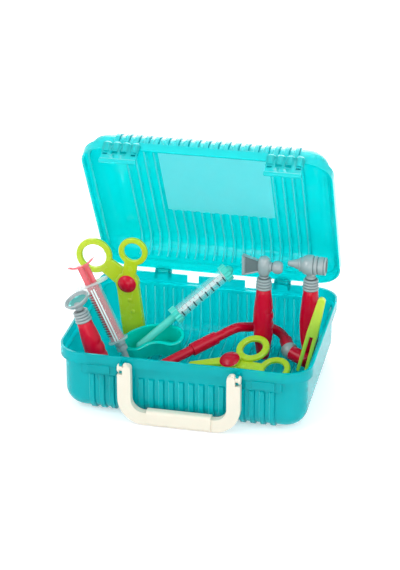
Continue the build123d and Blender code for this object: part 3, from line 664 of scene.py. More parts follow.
BASE_PAINTED_SHADE = BasePlastic(
    "teal_base_painted_shade", (0.0, 0.42, 0.47), (0.0, 0.47, 0.52), (0.16, 0.24), clear=0.5, coat=0.1
)
BASE_RIB = BasePlastic("teal_base_rib", (0.0, 0.63, 0.67), (0.0, 0.68, 0.72))
CREAM = Plastic("cream_handle", (0.78, 0.72, 0.60), (0.82, 0.77, 0.65), (0.38, 0.5), glow=0.1, shine=0.3)
GREEN = Plastic("green_plastic", (0.50, 0.64, 0.01), (0.56, 0.70, 0.02), (0.22, 0.32), glow=0.15, coat=0.2)
LIME = Plastic("lime_plastic", (0.60, 0.72, 0.04), (0.67, 0.78, 0.08), (0.2, 0.3), glow=0.2, coat=0.3)
RED = Plastic("red_plastic", (0.64, 0.001, 0.022), (0.70, 0.002, 0.03), (0.08, 0.14), coat=0.2, shine=0.2)
GREY = Plastic("grey_plastic", (0.33, 0.385, 0.395), (0.38, 0.435, 0.445), (0.14, 0.24), coat=0.4)
# A darker grey painted as shade in the heads' grooves, the wedge's sunk faces and the ear scope's eye cup.
GREY_PAINTED_SHADE = Plastic("grey_painted_shade", (0.14, 0.17, 0.175), (0.17, 0.205, 0.21), (0.2, 0.3), coat=0.1)
DISH = LidPlastic(
    "dish_plastic", (0.0, 0.84, 0.70), (0.0, 0.90, 0.76), (0.1, 0.18), clear=0.2, glow=0.4, coat=0.5, shine=0.5
)
KNOB = LidPlastic(
    "clear_teal", (0.10, 0.84, 0.72), (0.16, 0.90, 0.79), (0.1, 0.18), clear=0.25, glow=0.3, coat=0.4, shine=0.5
)
# The mirror's teal colour is a painted reflection of the case.
TEAL_PAINTED_REFLECTION = Plastic("silvering_painted_reflection", (0.04, 0.36, 0.34), (0.10, 0.46, 0.44), (0.06, 0.14), coat=0.3)
CLEAR_BARREL = Plastic(
    "clear_barrel", (0.80, 0.93, 0.90), (0.90, 0.97, 0.95), (0.05, 0.1), coat=0.4, alpha=0.16
)
CLEAR_TUBE = Plastic("clear_tube", (0.66, 0.93, 0.92), (0.78, 0.97, 0.96), (0.05, 0.1), coat=0.4, alpha=0.14)
CLEAR_RED = Plastic(
    "clear_red", (0.90, 0.09, 0.13), (0.94, 0.13, 0.17), (0.08, 0.16), glow=0.3, coat=0.4, alpha=0.78
)
FLANGE = Plastic("frosted_clear", (0.72, 0.80, 0.78), (0.82, 0.88, 0.86), (0.1, 0.2), coat=0.4, alpha=0.42)
CARD = Plastic("scale_card", (0.80, 0.84, 0.84), (0.90, 0.92, 0.92), (0.4, 0.5), glow=0.1)


@dataclass(frozen=True)
class Stage:
    """The pale floor, the soft lamps, the world and the camera, all in metres and watts."""

    eye: Point = (0.3973, -1.8187, 0.9984)
    aim: Point = (-0.00228, 0.0, 0.11177)
    lens: float = 122.7
    floor_size: float = 14.0
    floor_drop: float = 0.0002
    floor_glow: float = 0.42
    floor_colour: tuple[float, ...] = (0.80, 0.82, 0.83, 1)
    white: tuple[float, ...] = (1, 1, 1, 1)
    air: tuple[float, ...] = (0.93, 0.97, 1.0, 1)
    air_glow: float = 0.62
    lamp_aim: Point = (0.0, 0.0, 0.1)
    lamps: tuple[tuple[Point, float, float], ...] = (
        ((-1.1, -0.9, 1.5), 1.1, 10.0),
        ((1.3, -0.7, 1.2), 1.0, 5.0),
        ((0.1, 0.9, 1.7), 1.2, 6.0),
        ((-0.1, 1.5, 0.6), 1.3, 16.0),
        ((0.2, -2.1, 0.3), 1.3, 11.0),
    )
    strips: tuple[tuple[Point, float], ...] = (((-1.0, -1.5, 0.9), 5.0), ((1.1, -1.2, 0.8), 4.0))
    strip_size: tuple[float, float] = (0.14, 1.0)

    def build(self) -> None:
        """Builds the stage."""
        self.floor()
        self.light()
        self.camera()

    def seen(self, tree: bpy.types.NodeTree) -> Socket:
        """Adds 1 for camera, glossy and transmission rays, and 0 for the rest.

        Args:
            tree: The material's or the world's nodes.

        Returns:
            The 0 or 1.
        """
        path = tree.nodes.new("ShaderNodeLightPath")
        total = path.outputs["Is Camera Ray"]
        for name in ("Is Glossy Ray", "Is Transmission Ray"):
            add = tree.nodes.new("ShaderNodeMath")
            add.operation = "ADD"
            add.use_clamp = True
            tree.links.new(total, add.inputs[0])
            tree.links.new(path.outputs[name], add.inputs[1])
            total = add.outputs["Value"]
        return total

    def floor(self) -> None:
        """Adds a large pale floor that keeps the object's shadow."""
        deselect()
        bpy.ops.mesh.primitive_plane_add(size=self.floor_size, location=(0, 0, -self.floor_drop))
        floor = bpy.context.object
        floor.name = "floor"
        material = bpy.data.materials.new("pale_floor")
        material.use_nodes = True
        tree = material.node_tree
        shader = tree.nodes["Principled BSDF"]
        shader.inputs["Base Color"].default_value = self.floor_colour
        shader.inputs["Roughness"].default_value = 0.9
        glow, strength, both = (
            tree.nodes.new(f"ShaderNode{kind}") for kind in ("Emission", "Math", "AddShader")
        )
        glow.inputs["Color"].default_value = self.white
        strength.operation = "MULTIPLY"
        strength.inputs[1].default_value = self.floor_glow
        for source, target in (
            (self.seen(tree), strength.inputs[0]),
            (strength.outputs["Value"], glow.inputs["Strength"]),
            (shader.outputs["BSDF"], both.inputs[0]),
            (glow.outputs["Emission"], both.inputs[1]),
            (both.outputs["Shader"], tree.nodes["Material Output"].inputs["Surface"]),
        ):
            tree.links.new(source, target)
        floor.data.materials.append(material)

    def light(self) -> None:
        """Adds soft area lamps and an even world."""
        for n, (place, size, power) in enumerate(self.lamps):
            self.lamp(f"softbox_{n}", place, power, (size, size))
        for n, (place, power) in enumerate(self.strips):
            self.lamp(f"strip_{n}", place, power, self.strip_size)
        world = bpy.data.worlds.new("white_room")
        world.use_nodes = True
        bpy.context.scene.world = world
        tree = world.node_tree
        even, white = tree.nodes["Background"], tree.nodes.new("ShaderNodeBackground")
        for background, colour, strength in ((even, self.air, self.air_glow), (white, self.white, 1.0)):
            background.inputs["Color"].default_value = colour
            background.inputs["Strength"].default_value = strength
        mixer = tree.nodes.new("ShaderNodeMixShader")
        tree.links.new(self.seen(tree), mixer.inputs["Fac"])
        tree.links.new(even.outputs["Background"], mixer.inputs[1])
        tree.links.new(white.outputs["Background"], mixer.inputs[2])
        tree.links.new(mixer.outputs["Shader"], tree.nodes["World Output"].inputs["Surface"])

    def lamp(self, name: str, place: Point, power: float, size: tuple[float, float]) -> None:
        """Adds one area lamp, turned towards the case.

        Args:
            name: The lamp's name.
            place: Where it stands.
            power: Its power.
            size: Its width and height.
        """
        data = bpy.data.lights.new(name, "AREA")
        width, height = size
        data.shape = "SQUARE" if width == height else "RECTANGLE"
        data.size, data.size_y = width, height
        data.energy = power
        self.turned_object(name, data, place, self.lamp_aim)

    def turned_object(self, name: str, data: bpy.types.ID, place: Point, aim: Point) -> Object:
        """Adds an object at a place, turned towards a point.

        Args:
            name: The object's name.
            data: The lamp or camera that it holds.
            place: Where it stands.
            aim: The point that it faces.

        Returns:
            The new object.
        """
        obj = bpy.data.objects.new(name, data)
        obj.location = place
        obj.rotation_euler = (Vector(aim) - Vector(place)).to_track_quat("-Z", "Y").to_euler()
        bpy.context.collection.objects.link(obj)
        return obj

    def camera(self) -> None:
        """Adds the camera at the photograph's angle."""
        data = bpy.data.cameras.new("camera")
        data.lens = self.lens
        data.clip_start, data.clip_end = 0.05, 30
        camera = self.turned_object("camera", data, self.eye, self.aim)
        scene = bpy.context.scene
        scene.camera = camera
        scene.view_settings.view_transform = "Standard"


# ---------------------------------------------------------------- the case
@dataclass
class Case:
    """Sizes that the two shells share, in millimetres."""

    length: float = 268.0
    depth: float = 210.0
    step: float = 5.0
    corner: float = 28.0
    wall: float = 2.2
    rib_pitch: float = 10.59
    rib_count: int = 19
    rib_width: float = 6.6
    rib_rise: float = 2.0
    slope: float = 1.0
    hinge_y: float = 109.0
    hinge_x: float = 68.0
    rim_z: float = 72.0
    lid_height: float = 34.0
    foot: float = 2.0
    latch_x: float = 86.6
    latch_width: float = 38.0
    segments: int = 8

    def rib_places(self) -> list[float]:
        """Where the ribs' middles are along X."""
        half = self.rib_count // 2
        return [self.rib_pitch * n for n in range(-half, half + 1)]


@dataclass
class Shell:
    """One of the case's two corrugated shells, modelled with its bottom down and its rim up.

    The band is the wider strip under the rim, the edge the radius round the bottom, and the two tops are where
    the ribs end on the front and the back. The panel is half a width and two places along Y. The windows are a
    middle along X, a width and a drop from the rim.
    """

    case: Case
    name: str
    height: float
    band: float
    edge: float
    front_top: float
    back_top: float
    panel: Point | None = None
    windows: Point | None = None

    def build(self) -> Object:
        """Builds the shell.

        Returns:
            The shell, standing with its body's bottom at z = 0.
        """
        shell = self.rounded_tub()
        self.corrugate(shell)
        if self.windows:
            self.open_windows(shell)
        self.thicken(shell)
        LOG.info("%s: %d faces", self.name, len(shell.data.polygons))
        return shell

    def rounded_tub(self) -> Object:
        """Builds the outer surface: a rounded body bridged to the wider band at its rim.

        Returns:
            The surface, open at its rim and with no wall yet.
        """
        case = self.case
        x, y = case.length / 2 - case.step, case.depth / 2 - case.step
        top = self.height - self.band
        body = block(self.name, (-x, -y, 0), (x, y, top))
        edit(body)
        choose_edges(body, lambda a, b: abs(a.z - b.z) > 1)
        self.round_chosen(case.corner - case.step)
        choose_edges(body, lambda a, b: a.z < NEAR and b.z < NEAR and self.on_outline(a, b, x, y))
        self.round_chosen(self.edge)
        choose_faces(body, lambda middle, normal: middle.z > top - NEAR)
        bpy.ops.mesh.delete(type="FACE")
        x, y = case.length / 2, case.depth / 2
        band = block("band", (-x, -y, top), (x, y, self.height))
        edit(band)
        choose_edges(band, lambda a, b: abs(a.z - b.z) > 1)
        self.round_chosen(case.corner)
        choose_faces(band, lambda middle, normal: abs(normal.z) > FACING)
        bpy.ops.mesh.delete(type="FACE")
        shell = join(self.name, [body, band])
        edit(shell)
        choose_edges(shell, lambda a, b: abs(a.z - top) < NEAR and abs(b.z - top) < NEAR)
        bpy.ops.mesh.bridge_edge_loops()
        choose_all()
        bpy.ops.mesh.normals_make_consistent(inside=False)
        return shell

    def on_outline(self, a: Vector, b: Vector, x: float, y: float) -> bool:
        """Whether an edge of the bottom lies on its outline.

        Args:
            a: One end of the edge.
            b: Its other end.
            x: Half the bottom's length.
            y: Half its depth.

        Returns:
            Whether it does.
        """
        middle = (a + b) / 2
        inset = self.case.corner - self.case.step
        corner = abs(middle.x) > x - inset and abs(middle.y) > y - inset
        return corner or abs(abs(middle.x) - x) < NEAR or abs(abs(middle.y) - y) < NEAR

    def round_chosen(self, radius: float) -> None:
        """Rounds the chosen edges by a radius in millimetres."""
        bpy.ops.mesh.bevel(offset=radius * MM, segments=self.case.segments, affect="EDGES")

    def ribbed(self, middle: Vector) -> bool:
        """Whether a place lies on a rib's flat top.

        Args:
            middle: The place.

        Returns:
            Whether it does.
        """
        case = self.case
        across = any(abs(middle.x - rib) < case.rib_width / 2 - case.slope for rib in case.rib_places())
        top = min(self.front_top if middle.y < 0 else self.back_top, self.height - self.band - 0.1)
        return across and middle.z <= top and not self.on_panel(middle, case.slope)

    def corrugate(self, shell: Object) -> None:
        """Cuts the shell along its ribs and lifts them.

        Args:
            shell: The surface.
        """
        case, tops = self.case, (self.front_top, self.back_top)
        edit(shell, Pick.FACES)
        half = case.rib_width / 2
        offsets = [side * off for side in Side for off in (half, half - case.slope)]
        cut([rib + off for rib in case.rib_places() for off in offsets], Axis.X)
        cut({place for top in tops for place in (top, top + case.slope)}, Axis.Z)
        if self.panel:
            half, front, back = self.panel
            cut((front, front - case.slope, back, back + case.slope), Axis.Y)
            cut((-half, half), Axis.X)
        choose_faces(shell, lambda middle, normal: self.ribbed(middle))
        bpy.ops.transform.shrink_fatten(value=case.rib_rise * MM, use_even_offset=False)
        self.mark_faces(shell)

    def mark_faces(self, shell: Object) -> None:
        """Marks faces by finish: painted highlight on the ribs' left flanks, painted shade on their right ones.

        Args:
            shell: The surface, in edit mode.
        """
        case = self.case
        flat = case.rib_width / 2 - case.slope
        mesh = bmesh.from_edit_mesh(shell.data)
        for face in mesh.faces:
            middle = face.calc_center_median() / MM
            offset = (middle.x + case.rib_pitch / 2) % case.rib_pitch - case.rib_pitch / 2
            on_rib = self.ribbed(Vector((middle.x - offset, middle.y, middle.z)))
            if on_rib and abs(offset) < flat:
                face.material_index = ShellMark.RIB
            elif on_rib and abs(offset) < case.rib_width / 2:
                # Painted highlight on a rib's left flank, painted shade on its right flank.
                face.material_index = ShellMark.LIGHT if offset < 0 else ShellMark.DARK
            elif self.on_panel(middle):
                face.material_index = ShellMark.PANEL
        bmesh.update_edit_mesh(shell.data)
        choose_all()
        bpy.ops.mesh.dissolve_limited(angle_limit=math.radians(1), delimit={"MATERIAL"})

    def on_panel(self, middle: Vector, margin: float = 0.0) -> bool:
        """Whether a place is on the lid's smooth panel, or within a margin of its two ends.

        Args:
            middle: The place.
            margin: How far past the panel's ends still counts.

        Returns:
            Whether it is.
        """
        if not self.panel:
            return False
        half, front, back = self.panel
        return abs(middle.x) < half and front - margin < middle.y < back + margin and middle.z < 1

    def open_windows(self, shell: Object) -> None:
        """Opens the two windows in the band at the back.

        Args:
            shell: The surface, in edit mode.
        """
        place, width, drop = self.windows
        cut([side * (place + end * width / 2) for side in Side for end in Side], Axis.X)
        cut((self.height - drop,), Axis.Z)

        def inside(middle: Vector, normal: Vector) -> bool:
            """Whether a face lies in a window."""
            across = abs(abs(middle.x) - place) < width / 2
            return across and middle.z > self.height - drop and middle.y > 0 and normal.y > 0.5

        choose_faces(shell, inside)
        bpy.ops.mesh.delete(type="FACE")

    def thicken(self, shell: Object) -> None:
        """Gives the surface its wall and rounds its edges.

        Args:
            shell: The surface.
        """
        activate(shell)
        wall = shell.modifiers.new("wall", "SOLIDIFY")
        wall.thickness = self.case.wall * MM
        wall.offset = -1
        wall.use_even_offset = True
        bpy.ops.object.modifier_apply(modifier="wall")
        soften(shell, 0.7, 2, 25)


@dataclass
class CaseHardware:
    """The small parts moulded with the two shells: pads, tabs, ears, knuckles and clips."""

    case: Case
    opened: float = 60.5
    root_depth: float = 1.2
    eye_radius: float = 3.8
    rod_radius: float = 2.0
    rod_length: float = 16.0
    ear_x: float = 7.9
    ear_width: float = 3.0
    knuckle_width: float = 12.0
    handle_x: float = 61.1
    handle_y: float = -111.0
    handle_z: float = 63.0
    clip_radius: float = 5.4
    clip_wall: float = 2.3
    clip_width: float = 3.2
    tab_gap: float = 1.6
    tab_wall: float = 2.4
    tab_foot: float = -19.0
    tab_top: float = 3.0
    finger_pitch: float = 10.05
    finger_radius: float = 4.55
    slot_half: float = 2.5
    slot_low: float = -12.0
    slot_high: float = -9.8
    hook_radius: float = 2.6

    def lid_pose(self) -> Matrix:
        """The turn from the shut lid to the open one.

        Returns:
            The turn, in metres.
        """
        hinge = Matrix.Translation((0, self.case.hinge_y * MM, self.case.rim_z * MM))
        turn = Matrix.Rotation(math.radians(-self.opened), 4, "X")
        return hinge @ turn @ Matrix.Translation((0, -self.case.hinge_y * MM, 0))

    def front_root(self) -> float:
        """Where the roots of the pieces on the front wall end, along Y."""
        return self.root_depth - self.case.depth / 2

    def latch_pad(self, side: Side) -> Object:
        """The pad and catch under the base's rim.

        Args:
            side: Which side of the case.

        Returns:
            The joined piece.
        """
        case = self.case
        x, front, z = side * case.latch_x, -case.depth / 2, case.rim_z
        half, depth, low, high = case.latch_width / 2, 5.5, z - 23, z - 11.9
        pad = block("pad", (x - half, front, low), (x + half, front + depth, high))
        soften(pad, 1.2, 3)
        half, rise, root, low, high = 12, 1.2, 2, z - 20.5, z - 11.5
        catch = block("catch", (x - half, front - rise, low), (x + half, front + root, high))
        soften(catch, 0.8, 3)
        return join(f"latch_pad_{side.word}", [pad, catch])

    def ears(self, side: Side) -> Object:
        """The base's two hinge ears and the rod between them.

        Args:
            side: Which side of the case.

        Returns:
            The joined piece.
        """
        case = self.case
        y, z, half = case.hinge_y, case.rim_z, self.ear_width / 2
        parts = [drum("rod", (side * case.hinge_x, y, z), self.rod_radius, self.rod_length)]
        for end in Side:
            x = side * case.hinge_x + end * self.ear_x
            parts.append(drum("ear", (x, y, z), self.eye_radius, self.ear_width))
            low = (x - half, case.depth / 2 - self.root_depth, z - 2 * self.eye_radius)
            parts.append(block("root", low, (x + half, y, z)))
        for part in parts[1:]:
            soften(part, 0.4)
        return join(f"hinge_ears_{side.word}", parts)

    def knuckle(self, side: Side) -> Object:
        """The lid's snap-on knuckle, with the lid shut.

        Args:
            side: Which side of the case.

        Returns:
            The joined piece.
        """
        case = self.case
        x, y, half, above_rim = side * case.hinge_x, case.hinge_y, self.knuckle_width / 2, 0.3
        ring = drum("ring", (x, y, 0), self.eye_radius, self.knuckle_width)
        soften(ring, 0.4)
        low = (x - half, case.depth / 2 - self.root_depth, above_rim)
        root = block("root", low, (x + half, y, self.eye_radius))
        soften(root, 0.4)
        return join(f"hinge_knuckle_{side.word}", [ring, root])

    def finger_places(self, x: float) -> list[float]:
        """Where the four finger scallops of a tab are along X."""
        return [x + (n - 1.5) * self.finger_pitch for n in range(4)]

    def latch_tab(self, side: Side) -> Object:
        """The lid's latch tab: slotted plate, turned-over top, hook and finger scallops, with the lid shut.

        Args:
            side: Which side of the case.

        Returns:
            The joined piece, with painted highlights and painted shade marked on it.
        """
        x, back = side * self.case.latch_x, -self.case.depth / 2 - self.tab_gap
        half, front = self.case.latch_width / 2, back - self.tab_wall
        plate = block("plate", (x - half, front, self.tab_foot), (x + half, back, self.tab_top))
        self.slot_plate(plate, self.finger_places(x))
        soften(plate, 0.5)
        top = block("top", (x - half, front, 0.5), (x + half, self.front_root(), self.tab_top))
        soften(top, 0.5)
        middle, crown, hook_top, finger_foot = back - self.tab_wall / 2, 4.5, self.tab_foot + 2, -9
        parts = [plate, top, self.hook(x, middle)]
        parts += [self.finger(place, back - 1.0) for place in self.finger_places(x)]
        tab = join(f"latch_tab_{side.word}", parts)
        # Painted highlight on the scallops' tops and the hook's upper side, painted shade in the slots and on
        # faces turned down.
        mark_where(tab, lambda m, n: m.z > crown or (n.z > 0.45 and m.z < hook_top), ShellMark.LIGHT)
        mark_where(tab, lambda m, n: self.in_slot(m, n, middle), ShellMark.DARK)
        mark_where(tab, lambda m, n: n.z < -0.5 and m.z > finger_foot, ShellMark.DARK)
        return tab

    def slot_plate(self, plate: Object, places: list[float]) -> None:
        """Opens a tab's four slots through its plate.

        Args:
            plate: The tab's plate.
            places: The slots' middles along X.
        """
        low, high, half = self.slot_low, self.slot_high, self.slot_half
        edit(plate, Pick.FACES)
        cut([place + side * half for place in places for side in Side], Axis.X)
        cut((low, high), Axis.Z)

        def slotted(middle: Vector, normal: Vector) -> bool:
            """Whether a face of the plate lies over a slot."""
            across = any(abs(middle.x - place) < half for place in places)
            return abs(normal.y) > FACING and low < middle.z < high and across

        choose_faces(plate, slotted)
        bpy.ops.mesh.bridge_edge_loops()
        deselect()

    def in_slot(self, middle: Vector, normal: Vector, plate_y: float) -> bool:
        """Whether a face is on the inside of a slot."""
        inside = self.slot_low - 0.2 < middle.z < self.slot_high + 0.2
        return inside and abs(normal.y) < 0.6 and abs(middle.y - plate_y) < 1.6

    def finger(self, x: float, y: float) -> Object:
        """One finger scallop: half of a round-topped post, flattened against the tab.

        Args:
            x: Its place along X.
            y: Its middle along Y, before it is flattened.

        Returns:
            The scallop.
        """
        wall, z, length, rounding = self.front_root(), -0.6, 13.9, 3.2
        wider, flatter = 1.08, 0.74
        finger = drum("finger", (x, y, z), self.finger_radius, length, Axis.Z, 28)
        edit(finger)
        choose_edges(finger, lambda a, b: min(a.z, b.z) > z + length / 2 - 1)
        bpy.ops.mesh.bevel(offset=rounding * MM, segments=5, affect="EDGES")
        choose_all()
        bpy.ops.mesh.bisect(plane_co=(0, wall * MM, 0), plane_no=(0, 1, 0), clear_outer=True, use_fill=True)
        choose_all()
        bpy.ops.transform.resize(value=(wider, flatter, 1), center_override=(x * MM, wall * MM, 0))
        deselect()
        shade_smooth(finger)
        return finger

    def hook(self, x: float, y: float) -> Object:
        """The rounded bar at the tab's foot.

        Args:
            x: Its middle along X.
            y: Its middle along Y.

        Returns:
            The bar.
        """
        bar = drum("hook", (x, y, self.tab_foot), self.hook_radius, self.case.latch_width + 1.4)
        soften(bar, 1.4, 4)
        return bar

    def clip(self, side: Side) -> Object:
        """The open-fronted clip that holds a handle's trunnion.

        Args:
            side: Which side of the case.

        Returns:
            The joined piece.
        """
        x, y, z = side * self.handle_x, self.handle_y, self.handle_z
        radius, half, wall = self.clip_radius, self.clip_width / 2, self.front_root()
        hole, mouth, back_half = radius - self.clip_wall, y - 1.8, 5.0
        ring = drum("ring", (x, y, z), radius, self.clip_width, Axis.X, 40)
        edit(ring, Pick.FACES)
        choose_faces(ring, lambda middle, normal: abs(normal.x) > FACING)
        bpy.ops.mesh.inset(thickness=self.clip_wall * MM)
        bpy.ops.mesh.bridge_edge_loops()
        choose_all()
        bpy.ops.mesh.bisect(plane_co=(0, mouth * MM, 0), plane_no=(0, -1, 0), clear_outer=True, use_fill=True)
        deselect()
        arms = ((y, z + hole, z + radius), (y, z - radius, z - hole), (y + hole, z - back_half, z + back_half))
        parts = [ring]
        parts += [block("arm", (x - half, near, low), (x + half, wall, high)) for near, low, high in arms]
        for part in parts:
            soften(part, 0.3)
        return join(f"handle_clip_{side.word}", parts)


@dataclass
class DoctorCase:
    """The whole case: two shells and the hardware on them."""

    case: Case = field(default_factory=Case)

    def build(self) -> None:
        """Builds and dresses both halves."""
        # Each list's second and third finishes are painted highlight and painted shade.
        lids = [finish.material() for finish in (TEAL, TEAL_PAINTED_HIGHLIGHT, TEAL_PAINTED_SHADE, TEAL_RIB, FROSTED)]
        bases = [finish.material() for finish in (BASE, BASE_PAINTED_HIGHLIGHT, BASE_PAINTED_SHADE, BASE_RIB)]
        case, hardware = self.case, CaseHardware(self.case)
        height, windows = case.rim_z - case.foot, (33.0, 13.0, 9.0)
        base = Shell(
            case, "base_shell", height, band=12.0, edge=20.0, front_top=45.0, back_top=56.0, windows=windows
        ).build()
        base.data.transform(Matrix.Translation((0, 0, case.foot * MM)))
        height, panel = case.lid_height, (59.9, -34.5, 79.5)
        lid = Shell(
            case, "lid_shell", height, band=10.0, edge=22.0, front_top=22.0, back_top=22.0, panel=panel
        ).build()
        lid.data.transform(Matrix.Translation((0, 0, height * MM)) @ Matrix.Rotation(math.pi, 4, "X"))
        lid.data.transform(hardware.lid_pose())
        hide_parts("case_base")
        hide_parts("case_lid")
        hand_over(base, "case", bases)
        hand_over(lid, "lid", lids)
        for side in Side:
            for piece in (hardware.latch_pad(side), hardware.ears(side), hardware.clip(side)):
                hand_over(piece, "case", bases[:1])
            for piece in (hardware.latch_tab(side), hardware.knuckle(side)):
                piece.data.transform(hardware.lid_pose())
                hand_over(piece, "lid", lids)


# ---------------------------------------------------------------- the instruments
def lean(foot: Point, degrees: float = 0.0) -> Matrix:
    """A pose at a foot in millimetres, leaning about Y."""
    return Matrix.Translation([v * MM for v in foot]) @ Matrix.Rotation(math.radians(degrees), 4, "Y")


def facing(middle: Vector, way: Point) -> Matrix:
    """A pose at a point in metres with +Z along a direction."""
    return Matrix.Translation(middle) @ Vector(way).to_track_quat("Z", "Y").to_matrix().to_4x4()


@dataclass
class Grip:
    """A glossy round grip with three dips for the fingers on its right, and the ringed collar over it."""

    name: str
    pose: Matrix
    height: float = 84.0
    rings: tuple[Ring, ...] = (
        (5.2, 0.0), (6.2, 0.5), (6.7, 1.6), (8.2, 12.0), (9.9, 23.0), (10.9, 33.0), (11.3, 43.0), (11.2, 52.0),
        (10.5, 61.0), (9.6, 70.0), (8.5, 78.0), (8.1, 82.6), (7.4, 84.0),
    )
    dips: tuple[float, ...] = (35.5, 46.5, 57.5)
    dip_depth: float = 1.1
    dip_length: float = 2.4
    dip_radius: float = 11.0
    cut_start: float = 22.0
    cut_pitch: float = 1.5
    cut_count: int = 28
    ring_radius: float = 7.5
    ring_pitch: float = 3.3
    ring_height: float = 2.8
    ring_rise: float = 1.5
    ring_taper: float = 0.25
    ring_count: int = 4

    def build(self) -> Object:
        """Builds the grip in its pose.

        Returns:
            The grip.
        """
        grip = Turned(self.name, list(self.rings), 56).build(Matrix.Identity(4))
        edit(grip)
        cut([self.cut_start + self.cut_pitch * n for n in range(self.cut_count)], Axis.Z)
        mesh = bmesh.from_edit_mesh(grip.data)
        for vertex in mesh.verts:
            place = vertex.co / MM
            right = max(0.0, place.x / self.dip_radius) ** 2
            away = min(abs(place.z - dip) for dip in self.dips)
            vertex.co.x -= self.dip_depth * MM * math.exp(-((away / self.dip_length) ** 2)) * right
        bmesh.update_edit_mesh(grip.data)
        deselect()
        grip.data.transform(self.pose)
        shade_smooth(grip, 40.0)
        return grip

    def collar(self) -> Object:
        """Builds the four-ringed collar in its pose.

        Returns:
            The collar, with its grooves marked for painted shade.
        """
        gap, foot_radius, top_radius = (self.ring_pitch - self.ring_height) / 2, 6.4, 3.4
        rings = [(foot_radius, self.height)]
        for n in range(self.ring_count):
            low = self.height + self.ring_pitch * n + gap
            rings += bead(self.ring_radius - self.ring_taper * n, low, low + self.ring_height, self.ring_rise)
        rings.append((top_radius, self.height + self.ring_pitch * self.ring_count))
        collar = Turned(f"{self.name}_collar", rings, 48).build(Matrix.Identity(4))

        def between_rings(middle: Vector, normal: Vector) -> bool:
            """Whether a face lies in the grooves between the rings."""
            rings_below = (middle.z - self.height) / self.ring_pitch
            return math.hypot(middle.x, middle.y) < self.ring_radius + self.ring_taper * (1 - rings_below)

        mark_where(collar, between_rings, HeadMark.HOLLOW_PAINTED_SHADE)
        collar.data.transform(self.pose)
        return collar


